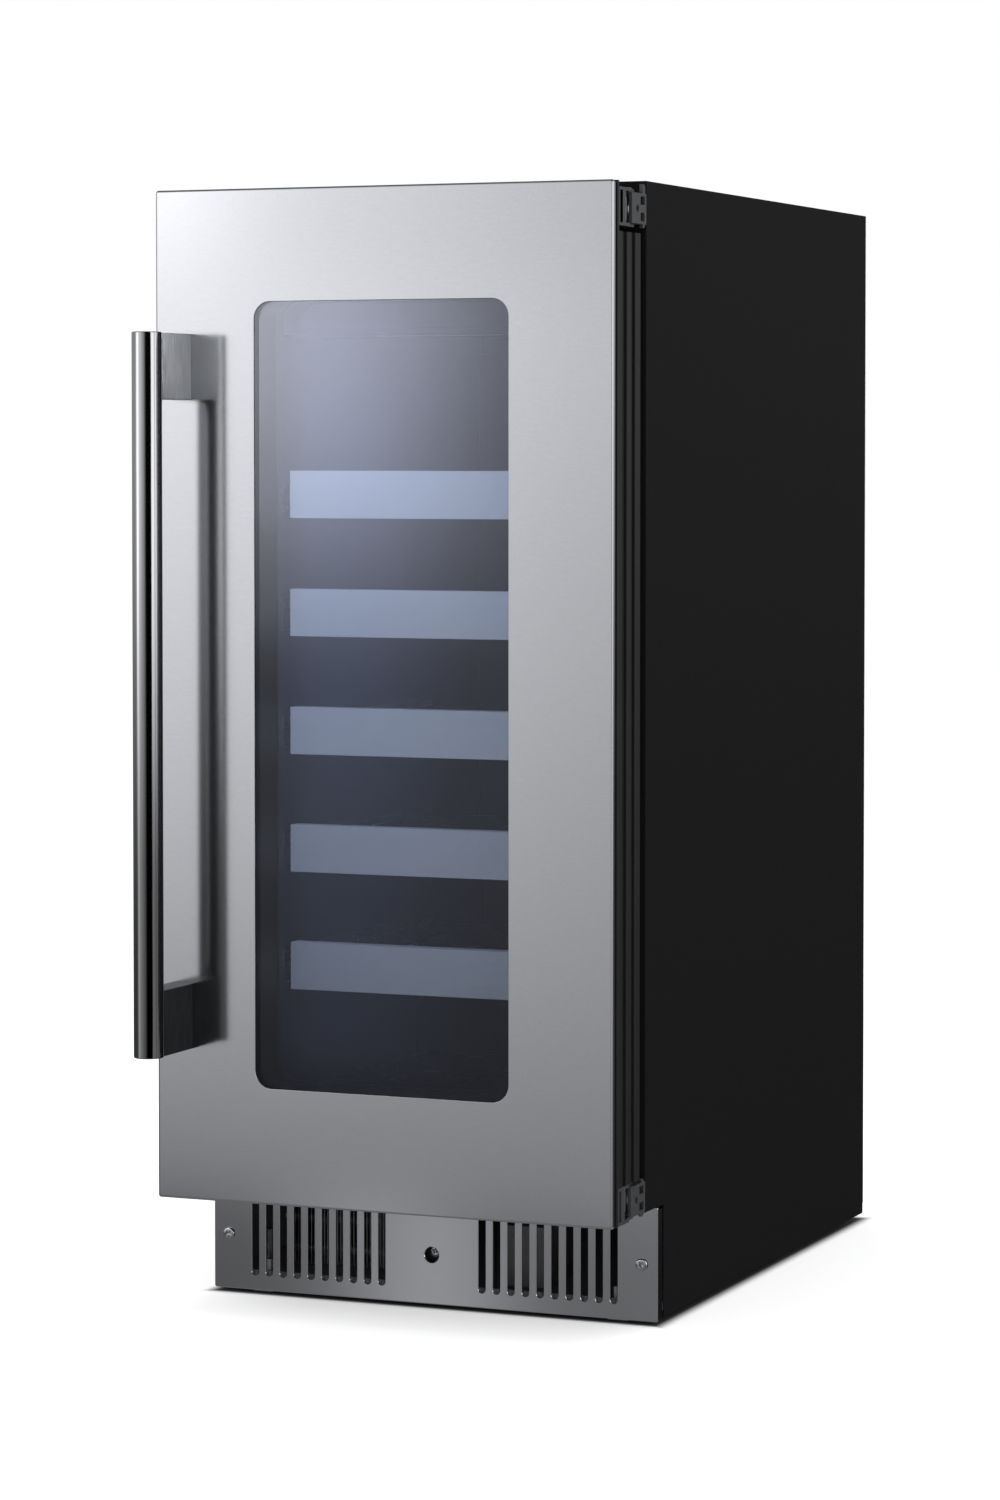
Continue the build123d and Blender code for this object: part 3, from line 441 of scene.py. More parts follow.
FINISH_MAKERS = {
    "cabinet_black": cabinet_paint,
    "galvanised": zinc_sheet,
    "stainless": stainless_sheet,
    "stainless_bar": stainless_bar,
    # Steel darkened as painted shade, for the handle posts and the base pan.
    "post": shade_darkened_steel,
    "hinge": hinge_steel,
    "foam": pale_foam,
    "board_green": green_board,
    "clear_glass": lambda: pane("Outer pane", colours().outer_glass, 0.052, 1.0),
    "coated_glass": lambda: pane("Inner pane", colours().inner_glass, 0.0, 0.35, 0.055),
    "strip": lambda: plain(
        "Satin strip", (1300.0, 3.0, 0.6, (0.12, 1.0, 1.0)), None,
        ((0.24, 0.247, 0.26), (0.32, 0.328, 0.34)), (0.46, 0.1), (0.00002, 0.4),
        Metallic=0.12, Specular_IOR_Level=0.15),
    "black_plastic": lambda: plain(
        "Black moulded plastic", (1700.0, 2.0, 0.6), (24.0,),
        (scaled(colours().plastic, 0.8), scaled(colours().plastic, 1.35)), (0.36, 0.16),
        (0.00003, 0.4), Specular_IOR_Level=0.4),
    "grey_plastic": lambda: plain(
        "Grey moulded plastic", (1500.0, 2.0, 0.6), (30.0,),
        ((0.10, 0.10, 0.108), (0.15, 0.15, 0.158)), (0.42, 0.14), (0.00003, 0.4)),
    "black_rubber": lambda: plain(
        "Black rubber", (1100.0, 3.0), (60.0,),
        ((0.010, 0.010, 0.011), (0.019, 0.019, 0.020)), (0.62, 0.14), (0.00004, 0.5)),
    "zinc_steel": lambda: plain(
        "Zinc-plated steel", (260.0, 3.0), None, ((0.40, 0.41, 0.43), (0.58, 0.59, 0.61)),
        (0.24, 0.16), (0.00002, 0.4), (1400.0,), Metallic=1.0),
    "black_steel": lambda: plain(
        "Black enamel", (380.0,), (40.0,), ((0.010, 0.010, 0.011), (0.018, 0.018, 0.020)),
        (0.40, 0.12), (0.00002, 0.3), Specular_IOR_Level=0.3),
    "aluminium_fins": lambda: plain(
        "Fin aluminium", (900.0, 2.0, 0.5, (1.0, 1.0, 0.03)), None,
        ((0.60, 0.61, 0.63), (0.80, 0.81, 0.83)), (0.28, 0.14), (0.00002, 0.4), Metallic=1.0),
    "black_glass": lambda: plain(
        "Black touch glass", (16.0,), None, ((0.006, 0.006, 0.007), (0.010, 0.010, 0.012)),
        (0.05, 0.04), Coat_Weight=0.4),
    "lens_white": lambda: plain(
        "Milky lens", (300.0,), None, ((0.68, 0.70, 0.72), (0.80, 0.82, 0.84)), (0.35, 0.1)),
}
MADE_FINISHES = {}
STAND_INS = {}


def finish(key):
    if key not in MADE_FINISHES:
        MADE_FINISHES[key] = FINISH_MAKERS[key]()
    return MADE_FINISHES[key]


# ---------------------------------------------------------------- mesh kit
def turns(count):
    """Angles that share out a whole turn."""
    return [2 * math.pi * i / count for i in range(count)]


def quarter(steps, first=0, last=None):
    """Sine and cosine of the steps of a quarter turn."""
    angles = [math.pi / 2 * k / steps for k in range(first, (steps if last is None else last) + 1)]
    return [(math.sin(a), math.cos(a)) for a in angles]


def hexagon(flat, angle):
    """Distance from the middle of a hexagon to its edge; flat is half its width over the flats."""
    return flat / math.cos((angle % (math.pi / 3)) - math.pi / 6)


def add_piece(name, mesh):
    piece = bpy.data.objects.new(name, mesh)
    bpy.context.scene.collection.objects.link(piece)
    return piece


def from_points(name, points, faces=()):
    mesh = bpy.data.meshes.new(name)
    mesh.from_pydata([tuple(point) for point in points], [], list(faces))
    return add_piece(name, mesh)


def from_bmesh(name, bm, angle=None):
    """Closed shells in, object out; every shell is made to face outwards."""
    bmesh.ops.recalc_face_normals(bm, faces=bm.faces)
    mesh = bpy.data.meshes.new(name)
    bm.to_mesh(mesh)
    bm.free()
    if angle:
        shade(mesh, angle)
    return add_piece(name, mesh)


def shade(mesh, angle):
    """Smooth, but for the edges that turn by more than the angle in degrees."""
    mesh.shade_smooth()
    mesh.set_sharp_from_angle(angle=math.radians(angle))


def settle(piece):
    """Turns a piece's modifiers into plain mesh."""
    graph = bpy.context.evaluated_depsgraph_get()
    mesh = bpy.data.meshes.new_from_object(
        piece.evaluated_get(graph), preserve_all_data_layers=True, depsgraph=graph)
    piece.modifiers.clear()
    before = piece.data
    piece.data = mesh
    bpy.data.meshes.remove(before)
    return piece


def even_flats(piece):
    """Keeps the flats flat next to rounded edges."""
    flats = piece.modifiers.new("Flats", "WEIGHTED_NORMAL")
    flats.keep_sharp = True
    return settle(piece)


def round_edges(piece, width, segments=2):
    """Breaks every sharp edge."""
    bevel = piece.modifiers.new("Edges", "BEVEL")
    bevel.width = width
    bevel.segments = segments
    bevel.limit_method = "ANGLE"
    bevel.angle_limit = math.radians(32.0)
    bevel.use_clamp_overlap = False
    bevel.miter_outer = "MITER_ARC"
    shade(piece.data, 40.0)
    return even_flats(piece)


def dress(piece, node, key=None):
    """Gives a piece its finish and body, and stands it in for a node."""
    slot = SLOT_OF[node]
    piece.data.materials.clear()
    piece.data.materials.append(finish(key or slot))
    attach(piece, BODY_OF[node])
    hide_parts(node)
    STAND_INS[node] = piece


def keep_node(node):
    """Carries a frame node over with its finish."""
    mesh = frame["nodes"][node].data
    mesh.materials.clear()
    mesh.materials.append(finish(SLOT_OF[node]))


def soften(node, width=None, segments=2, key=None):
    """Stands a copy with joined triangles and broken edges in for a node."""
    bm = bmesh.new()
    bm.from_mesh(frame["nodes"][node].data)
    bmesh.ops.remove_doubles(bm, verts=bm.verts, dist=3e-6)
    bmesh.ops.dissolve_limit(bm, angle_limit=math.radians(0.6), verts=bm.verts, edges=bm.edges)
    mesh = bpy.data.meshes.new(node + "_edges")
    bm.to_mesh(mesh)
    bm.free()
    piece = add_piece(node + "_edges", mesh)
    round_edges(piece, width or sizes().edge, segments)
    dress(piece, node, key)


def ring_points(half_x, z0, z1, radius, y, steps=6):
    """Rectangle with round corners in a front plane, as a ring of points."""
    radius = max(radius, 0.02 * MM)
    points = []
    for cx, cz, start in ((half_x - radius, z1 - radius, 0), (radius - half_x, z1 - radius, 90),
                          (radius - half_x, z0 + radius, 180), (half_x - radius, z0 + radius, 270)):
        for k in range(steps + 1):
            a = math.radians(start + 90.0 * k / steps)
            points.append(Vector((cx + radius * math.cos(a), y, cz + radius * math.sin(a))))
    return points


def inset_ring(low, high, inset, y, radius, steps):
    """Ring round a box's front, moved inwards."""
    return ring_points(high.x - inset, low.z + inset, high.z - inset, radius, y, steps)


def band(bm, rings, closed=False):
    """Quads between rings of equal length; gives back the rings' vertices."""
    made = [[bm.verts.new(point) for point in ring] for ring in rings]
    follow = made[1:] + ([made[0]] if closed else [])
    for ring, other in zip(made, follow):
        count = len(ring)
        for i in range(count):
            j = (i + 1) % count
            bm.faces.new((ring[i], ring[j], other[j], other[i]))
    return made


def capped(bm, rings):
    """Band whose two end rings are closed by flat faces."""
    made = band(bm, rings)
    bm.faces.new(made[0])
    bm.faces.new(made[-1])


def fill_between(bm, outer, inner):
    """Flat face between an outer ring and the ring inside it."""
    edges = []
    for ring in (outer, inner):
        for i, vert in enumerate(ring):
            edges.append(bm.edges.get((vert, ring[(i + 1) % len(ring)])))
    bmesh.ops.triangle_fill(bm, use_beauty=True, use_dissolve=False, edges=edges)


def lathe(bm, profile, centre, axis="Z", sides=64):
    """Turns (radius, height) points about an axis."""
    rings = []
    for radius, height in profile:
        ring = []
        for a in turns(sides):
            u, v = radius * math.cos(a), radius * math.sin(a)
            ring.append(Vector((u, v, height) if axis == "Z" else (u, height, v)) + centre)
        rings.append(ring)
    capped(bm, rings)


def box_into(bm, low, high):
    """Adds a closed box between two corners."""
    verts = [bm.verts.new((x, y, z)) for x in (low[0], high[0]) for y in (low[1], high[1])
             for z in (low[2], high[2])]
    for corners in ((0, 1, 3, 2), (4, 6, 7, 5), (0, 4, 5, 1), (2, 3, 7, 6), (0, 2, 6, 4), (1, 5, 7, 3)):
        bm.faces.new([verts[i] for i in corners])


def pipe_into(bm, points, radius):
    """Adds a round tube that follows points, closed at its ends."""
    curve = bpy.data.curves.new("pipe", "CURVE")
    curve.dimensions = "3D"
    curve.bevel_depth = radius
    curve.bevel_resolution = 2
    curve.use_fill_caps = True
    spline = curve.splines.new("NURBS")
    spline.points.add(len(points) - 1)
    for point, place in zip(spline.points, points):
        point.co = (*place, 1.0)
    spline.order_u = 3
    spline.use_endpoint_u = True
    spline.resolution_u = 6
    holder = bpy.data.objects.new("pipe", curve)
    mesh = bpy.data.meshes.new_from_object(holder)
    bm.from_mesh(mesh)
    bpy.data.objects.remove(holder)
    bpy.data.meshes.remove(mesh)
    bpy.data.curves.remove(curve)


# ---------------------------------------------------------------- geometry node trees
class Tree:
    """A geometry node tree with named inputs; underscores in the names stand for spaces."""

    def __init__(self, name, **kinds):
        self.group = bpy.data.node_groups.new(name, "GeometryNodeTree")
        face = self.group.interface
        self.inputs = {}
        for key, kind in [("Geometry", "Geometry"), *kinds.items(), ("Finish", "Material")]:
            key = key.replace("_", " ")
            socket = face.new_socket(key, in_out="INPUT", socket_type="NodeSocket" + kind)
            self.inputs[key] = socket.identifier
        face.new_socket("Geometry", in_out="OUTPUT", socket_type="NodeSocketGeometry")
        self.given = self.group.nodes.new("NodeGroupInput").outputs
        self.exit = self.group.nodes.new("NodeGroupOutput")

    def node(self, kind, inputs=None, **settings):
        return add_node(self.group, kind, inputs, **settings).outputs

    def item(self, name):
        """The mesh of an object that is given to the tree."""
        return self.node("GeometryNodeObjectInfo", {"Object": self.given[name]},
                         transform_space="ORIGINAL")["Geometry"]

    def line(self, start, step):
        return self.node("GeometryNodeMeshLine", {
            "Count": self.given["Count"], "Start Location": start, "Offset": step}, mode="OFFSET")[0]

    def copies(self, points, item, **more):
        return self.node("GeometryNodeInstanceOnPoints", {
            "Points": points, "Instance": item, **more})[0]

    def join(self, *parts):
        return self.node("GeometryNodeJoinGeometry", {0: list(parts)})[0]

    def real(self, geometry):
        return self.node("GeometryNodeRealizeInstances", {0: geometry})[0]

    def end(self, geometry):
        """Real mesh with the finish on it."""
        painted = self.node("GeometryNodeSetMaterial", {
            "Geometry": self.real(geometry), "Material": self.given["Finish"]})
        self.group.links.new(painted[0], self.exit.inputs[0])
        return self

    def apply(self, piece, values):
        modifier = piece.modifiers.new(self.group.name, "NODES")
        modifier.node_group = self.group
        for name, value in values.items():
            modifier[self.inputs[name.replace("_", " ")]] = value


def row_tree():
    """Items in a straight row, joined to the piece itself."""
    tree = Tree("Row of items", Item="Object", Count="Int", Start="Vector", Step="Vector")
    row = tree.copies(tree.line(tree.given["Start"], tree.given["Step"]), tree.item("Item"))
    return tree.end(tree.join(row, tree.given["Geometry"]))


def places_tree():
    """An item on every vertex of the piece, each turned a little differently."""
    tree = Tree("Items at places", Item="Object", Most_turn="Float", Axis="Vector", Seed="Int")
    turned = tree.node("FunctionNodeRandomValue", {
        "Max": tree.given["Most turn"], "Seed": tree.given["Seed"]}, data_type="FLOAT")
    about = tree.node("ShaderNodeVectorMath", {0: tree.given["Axis"], "Scale": turned["Value"]},
                      operation="SCALE")
    return tree.end(tree.copies(tree.given["Geometry"], tree.item("Item"), Rotation=about[0]))


def ring_tree():
    """Items about an axis that runs front to back, joined to a hub."""
    tree = Tree("Items round a hub", Item="Object", Count="Int", Centre="Vector")
    step = tree.node("ShaderNodeMath", {0: 2 * math.pi, 1: tree.given["Count"]}, operation="DIVIDE")
    index = tree.node("GeometryNodeInputIndex")
    angle = tree.node("ShaderNodeMath", {0: index[0], 1: step[0]}, operation="MULTIPLY")
    about = tree.node("ShaderNodeCombineXYZ", {"Y": angle[0]})
    points = tree.line(tree.given["Centre"], (0.0, 0.0, 0.0))
    ring = tree.copies(points, tree.item("Item"), Rotation=about[0])
    return tree.end(tree.join(ring, tree.given["Geometry"]))


def slotted_tree():
    """Cuts two mirrored rows of slots, and one more shape, out of the piece."""
    tree = Tree("Slotted plate", Cutter="Object", Holes="Object", Count="Int",
                Right_start="Vector", Right_step="Vector", Left_start="Vector", Left_step="Vector",
                Returns="Object")
    rows = []
    for side in ("Right", "Left"):
        line = tree.line(tree.given[side + " start"], tree.given[side + " step"])
        rows.append(tree.copies(line, tree.item("Cutter")))
    cutters = tree.real(tree.join(*rows, tree.item("Holes")))
    cut = tree.node("GeometryNodeMeshBoolean", {"Mesh 1": tree.given["Geometry"], "Mesh 2": cutters},
                    operation="DIFFERENCE", solver="EXACT")
    return tree.end(tree.join(cut[0], tree.item("Returns")))


TREES = {}


def run_tree(maker, piece, items, width=None, **values):
    """Applies a tree, rounds the edges if asked, and clears the loose items away."""
    if maker not in TREES:
        TREES[maker] = maker()
    TREES[maker].apply(piece, values)
    settle(piece)
    for item in items:
        mesh = item.data
        bpy.data.objects.remove(item)
        bpy.data.meshes.remove(mesh)
    if width:
        round_edges(piece, width)
    else:
        shade(piece.data, 38.0)


def place_items(name, places, item, slot, seed, most_turn):
    """Copies of an item at places, as one piece."""
    piece = from_points(name, places)
    run_tree(places_tree, piece, [item], Item=item, Most_turn=most_turn, Axis=(0.0, 1.0, 0.0),
             Seed=seed, Finish=finish(slot))
    return piece


# ---------------------------------------------------------------- screws
def hexagon_head(across, height, towards=-1):
    """Hexagon washer-head screw that stands on its seat at Y = 0."""
    washer = across * 0.62
    profile = ((washer, 0.0, 0), (washer, 0.16, 0), (washer * 0.97, 0.22, 0), (across / 2, 0.24, 1),
               (across / 2, 0.86, 1), (across * 0.43, 1.0, 0.6))
    rings = []
    for radius, share, flatness in profile:
        ring = []
        for a in turns(24):
            reach = radius + flatness * (hexagon(radius, a) - radius)
            ring.append(Vector((reach * math.cos(a), towards * share * height, reach * math.sin(a))))
        rings.append(ring)
    bm = bmesh.new()
    capped(bm, rings)
    return from_bmesh("hexagon_head", bm, 30.0)


def cross_head(radius, height):
    """Pan head with a cross recess, seat at Y = 0, facing the front."""
    profile = [(radius, 0.0), (radius, -0.35 * height)]
    profile += [(radius * (0.72 + 0.28 * cos), -height * (0.35 + 0.55 * sin)) for sin, cos in quarter(6, 1, 5)]
    for k in range(12):
        share = 0.70 * (1 - k / 12.0)
        profile.append((radius * share, -height * (1.0 - 0.10 * share * share)))
    rings = []
    for r, crown in profile:
        ring = []
        for a in turns(64):
            x, y, z = r * math.cos(a), crown, r * math.sin(a)
            arm, reach = min(abs(x), abs(z)), max(abs(x), abs(z))
            if arm < 0.13 * radius and reach < 0.52 * radius:
                y += height * 0.62 * (1 - reach / (0.62 * radius))
            ring.append(Vector((x, y, z)))
        rings.append(ring)
    bm = bmesh.new()
    capped(bm, rings)
    return from_bmesh("cross_head", bm, 30.0)


def screws(name, node, places, head, seed, key=None):
    """Screw heads at their places, each turned at random, as one piece."""
    dress(place_items(name, places, head, key or SLOT_OF[node], seed, 6.28), node, key)


# ---------------------------------------------------------------- operators
class CoolerPart(bpy.types.Operator):
    """Common ground of the operators that build a piece."""

    bl_idname = "cooler.part"
    bl_label = "Part"
    bl_options = {"REGISTER"}

    def build(self):
        raise NotImplementedError

    def execute(self, context):
        self.build()
        return {"FINISHED"}


class BuildDoorSkin(CoolerPart):
    """Stainless front, rolled over at its edges, with the window's round corners."""

    bl_idname = "cooler.door_skin"
    bl_label = "Door skin"

    def build(self):
        low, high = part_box("door_skin")
        sheet, corner, steps = 0.8 * MM, 2.1 * MM, sizes().corner_steps
        lip = high.y - low.y
        fold = sizes().fold
        section = [(fold - fold * sin, fold - fold * cos) for sin, cos in quarter(6)]
        section += [(0.0, lip), (sheet, lip), (sheet, sheet + 0.3 * MM), (1.2 * sheet, sheet)]
        rolled = [(-0.30 * MM, 0.0), (-0.09 * MM, 0.09 * MM), (0.0, 0.30 * MM), (0.0, sheet)]
        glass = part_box("glass_outer")
        bm = bmesh.new()
        outside = band(bm, [inset_ring(low, high, inset, low.y + depth, corner - inset, steps)
                            for inset, depth in section])
        inside = band(bm, [inset_ring(*glass, GLASS_MARGIN + grow, low.y + depth, WINDOW_CORNER - grow, steps)
                           for grow, depth in rolled])
        fill_between(bm, outside[0], inside[0])
        fill_between(bm, outside[-1], inside[-1])
        piece = from_bmesh("door_front_sheet", bm, 50.0)
        dress(even_flats(piece), "door_skin")


class BuildDoorBody(CoolerPart):
    """Ribbed plastic frame, inner panel, seal and foam of the door."""

    bl_idname = "cooler.door_body"
    bl_label = "Door frame and seal"

    def build(self):
        soften("door_frame", 0.4 * MM)
        soften("door_liner", 0.4 * MM)
        keep_node("door_insulation")
        low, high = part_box("gasket")
        # The seal's section: how far inside its outline and how deep, in millimetres.
        half = [(2, 0), (2, 2.3), (4.6, 2.8), (3.7, 4.2), (4.9, 5.6), (3.6, 7.0), (4.5, 8.2),
                (0.7, 8.7), (0.1, 9.4), (0.1, 10.9), (0.7, 11.5)]
        other_half = [(15.3, 11.5), (15.9, 10.9), (15.9, 9.4), (15.3, 8.7), (11.7, 8.2), (12.5, 7.0),
                      (11.3, 5.6), (12.4, 4.2), (11.6, 2.8), (14, 2.3), (14, 0)]
        bm = bmesh.new()
        band(bm, [inset_ring(low, high, inset * MM, low.y + depth * MM, 2.0 * MM, 5)
                  for inset, depth in half + other_half], closed=True)
        dress(from_bmesh("door_seal", bm, 55.0), "gasket")


class BuildWindow(CoolerPart):
    """Two coated panes and the black spacer between them."""

    bl_idname = "cooler.window"
    bl_label = "Window"

    def build(self):
        low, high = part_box("window_reveal")
        hole, edge = GLASS_MARGIN - 0.8 * MM, 0.5 * MM
        section = [(0.0, 1.5 * MM, low.y), (0.0, 1.5 * MM, high.y),
                   (hole - edge, WINDOW_CORNER + edge, high.y), (hole, WINDOW_CORNER, high.y - edge),
                   (hole, WINDOW_CORNER, low.y + edge), (hole - edge, WINDOW_CORNER + edge, low.y)]
        bm = bmesh.new()
        band(bm, [inset_ring(low, high, inset, y, radius, sizes().corner_steps)
                  for inset, radius, y in section], closed=True)
        dress(from_bmesh("window_spacer", bm, 40.0), "window_reveal")
        for node in PANES:
            keep_node(node)


class BuildHandle(CoolerPart):
    """Round bar, two posts and the screws that hold them."""

    bl_idname = "cooler.handle"
    bl_label = "Handle"

    def build(self):
        low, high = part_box("handle_bar")
        centre = (low + high) / 2
        radius, half, rounding = (high.x - low.x) / 2, (high.z - low.z) / 2, 0.9 * MM
        profile = [(TIP, -half), (radius - rounding, -half)]
        profile += [(radius - rounding * (1 - sin), -half + rounding * (1 - cos)) for sin, cos in quarter(4, 1)]
        profile += [(r, -h) for r, h in reversed(profile)]
        bm = bmesh.new()
        lathe(bm, profile, centre, sides=96)
        dress(from_bmesh("handle_round_bar", bm, 30.0), "handle_bar")
        # The posts take steel darkened as painted shade; a lamp of their own brightens the upper one.
        soften("handle_posts", 0.45 * MM, 3, "post")
        low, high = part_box("handle_posts")
        seat, from_end = at(0.8), 25 * MM
        places = [(centre.x, seat, z) for z in (low.z + from_end, high.z - from_end)]
        head = hexagon_head(11.0 * MM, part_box("handle_screws")[1].y - seat, 1)
        screws("handle_screw_heads", "handle_screws", places, head, 3)


class BuildHinges(CoolerPart):
    """Pin hinges at the two corners, with their screws."""

    bl_idname = "cooler.hinges"
    bl_label = "Hinges"

    def build(self):
        for node in ("hinge_leaves", "door_brackets"):
            soften(node, 0.3 * MM, 2, "hinge")
        self.pins()
        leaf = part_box("leaf_screws")
        head_reach = 4.62 * MM
        heights = (leaf[0].z + head_reach, leaf[1].z - head_reach)
        for node, y, across, towards, seed in (
                ("leaf", leaf[1].y, LEAF_SCREW_X, -1, 5),
                ("bracket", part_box("bracket_screws")[0].y, BRACKET_SCREW_X, 1, 8)):
            screws(node + "_screw_heads", node + "_screws", [(x, y, z) for z in heights for x in across],
                   hexagon_head(*HINGE_SCREW_HEAD, towards), seed, "hinge")

    def pins(self):
        """Turned pins: a rounded head at one end and a broken edge at the other."""
        low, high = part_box("hinge_pins")
        axis = Vector(((low.x + high.x) / 2, (low.y + high.y) / 2, 0.0))
        length, shank, head, head_h, ease = 29.6 * MM, 2.9 * MM, 4.35 * MM, 1.2 * MM, 0.4 * MM
        profile = [(TIP, 0), (head - 0.9 * MM, 0), (head - 0.3 * MM, 0.15 * MM), (head, 0.6 * MM),
                   (head, head_h), (shank, head_h), (shank, length - ease), (shank - ease, length),
                   (TIP, length)]
        bm = bmesh.new()
        for foot, way in ((low.z, 1), (high.z, -1)):
            lathe(bm, [(r, foot + way * h) for r, h in profile], axis, sides=32)
        dress(from_bmesh("hinge_turned_pins", bm, 35.0), "hinge_pins")


class BuildCabinet(CoolerPart):
    """Painted wrap, back, louvred cover, liner and foam."""

    bl_idname = "cooler.cabinet"
    bl_label = "Cabinet"

    def build(self):
        soften("outer_wrap", 0.4 * MM)
        soften("back_panel", 0.2 * MM, 1)
        soften("bottom_panel", 0.25 * MM, 1)
        # The base pan takes steel darkened as painted shade, so that the inside of the kick plate's slots stays
        # dark.
        soften("base_pan", 0.4 * MM, key="post")
        soften("liner", 0.5 * MM)
        soften("cord_gland", 0.5 * MM)
        keep_node("rear_grille")
        keep_node("cabinet_insulation")
        self.louvres()

    def louvres(self):
        """Pressed hoods inside each opening of the rear cover."""
        half, tall, reach, sheet = 55 * MM, 6.5 * MM, 4.5 * MM, 0.7 * MM
        first, pitch, row_count, column = 73 * MM, 13 * MM, 8, 70 * MM
        rings = []
        for sin, cos in quarter(6):
            y, z = -reach * sin, tall * (1 - cos) * 0.5
            rings.append([(-half, y, z), (half, y, z), (half, y - sheet, z), (-half, y - sheet, z)])
        bm = bmesh.new()
        capped(bm, rings)
        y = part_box("rear_grille")[0].y
        places = [(x, y, first + pitch * row) for row in range(row_count) for x in (-column, column)]
        piece = place_items("rear_hoods", places, from_bmesh("hood", bm), "galvanised", 1, 0.0)
        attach(piece, "cabinet")


class BuildPlinth(CoolerPart):
    """Kick plate with its slots and screws, and the brackets behind it."""

    bl_idname = "cooler.plinth"
    bl_label = "Kick plate"

    def build(self):
        low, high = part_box("kick_plate")
        sheet, rolled, corner = 1.5 * MM, 0.9 * MM, 2.0 * MM
        section = [(rolled * (1 - sin), rolled * (1 - cos)) for sin, cos in quarter(4)] + [(0.0, sheet)]
        bm = bmesh.new()
        capped(bm, [inset_ring(low, high, inset, low.y + depth, corner - inset, 5) for inset, depth in section])
        plate = from_bmesh("kick_plate_sheet", bm)
        slot, holes, returns = self.slot_cutter(), self.hole_cutter(low), self.side_returns(low, high, sheet)
        first, pitch, mid = 42.3 * MM, 12.1 * MM, 46.15 * MM
        y = low.y + sheet / 2
        run_tree(slotted_tree, plate, [slot, holes, returns], Cutter=slot, Holes=holes,
                 Count=sizes().slot_count, Returns=returns,
                 Right_start=(first, y, mid), Right_step=(pitch, 0.0, 0.0),
                 Left_start=(-first, y, mid), Left_step=(-pitch, 0.0, 0.0), Finish=finish("stainless"))
        shade(plate.data, 40.0)
        dress(even_flats(plate), "kick_plate")
        soften("kick_brackets", 0.3 * MM)
        places = [(x, low.y, PLINTH_SCREW_Z) for x in (-PLINTH_SCREW_X, PLINTH_SCREW_X)]
        places.append((0.0, at(105.0), BAY_SCREW_Z))
        screws("plinth_screw_heads", "plinth_screws", places, cross_head(4.8 * MM, 2.0 * MM), 11, "stainless")

    def side_returns(self, low, high, sheet):
        """The plate's sides, bent back."""
        bm = bmesh.new()
        for x0, x1 in ((low.x, low.x + sheet), (high.x - sheet, high.x)):
            box_into(bm, (x0, low.y + sheet - 0.2 * MM, low.z + 2 * MM), (x1, high.y, high.z - 2 * MM))
        return from_bmesh("side_returns", bm)

    def slot_cutter(self):
        """Upright slot with true round ends and a slight burr chamfer at the face."""
        radius, half, burr = 3.0 * MM, 31.85 * MM, 0.35 * MM
        bm = bmesh.new()
        capped(bm, [ring_points(radius + grow, -half - grow, half + grow, radius + grow - TIP, y * MM, 8)
                    for grow, y in ((burr, -1.2), (burr, -0.78), (0.0, -0.40), (0.0, 1.2))])
        return from_bmesh("slot_cutter", bm)

    def hole_cutter(self, low):
        bm = bmesh.new()
        profile = [(6.5 * MM, -1.0 * MM), (6.5 * MM, 0.02 * MM), (6.0 * MM, 0.5 * MM), (6.0 * MM, 2.5 * MM)]
        lathe(bm, profile, Vector((0.0, low.y, PLINTH_HOLE_Z)), "Y", 40)
        return from_bmesh("hole_cutter", bm)


class BuildFeet(CoolerPart):
    """Levelling feet with a cut thread, and their nuts."""

    bl_idname = "cooler.feet"
    bl_label = "Feet"

    def build(self):
        pad = ((13.2, 0.0), (14.0, 0.8), (14.0, 6.8), (13.7, 7.4), (12.2, 8.8), (11.8, 9.0))
        thread_from = 8.5 * MM
        for leg in LEGS:
            low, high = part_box(leg)
            axis = Vector(((low.x + high.x) / 2, (low.y + high.y) / 2, 0.0))
            bm = bmesh.new()
            capped(bm, [self.ring(axis, flat * MM, low.z + height * MM) for flat, height in pad])
            self.thread(bm, axis, low.z + thread_from, high.z)
            dress(from_bmesh(leg + "_foot", bm, 50.0), leg)
        soften("leg_nuts", 0.3 * MM)

    def ring(self, axis, flat, z):
        """Hexagon with its corners turned down."""
        points = []
        for a in turns(36):
            r = min(hexagon(flat, a), flat * 1.13)
            points.append(Vector((r * math.cos(a), r * math.sin(a), z)) + axis)
        return points

    def thread(self, bm, axis, z0, z1):
        """Screw thread as one skin, whose radius rises and falls along the turn."""
        radius, cut, sides, steps = 4.0 * MM, 0.55 * MM, 20, 5
        pitch = sizes().thread_pitch
        rows = int((z1 - z0) / pitch * steps)
        rings = []
        for j in range(rows + 1):
            z = z0 + (z1 - z0) * j / rows
            ring = []
            for i, a in enumerate(turns(sides)):
                phase = (z / pitch - i / sides) % 1.0
                r = radius - cut * (1.0 if j == rows else abs(2 * phase - 1))
                ring.append(Vector((r * math.cos(a), r * math.sin(a), z)) + axis)
            rings.append(ring)
        capped(bm, rings)


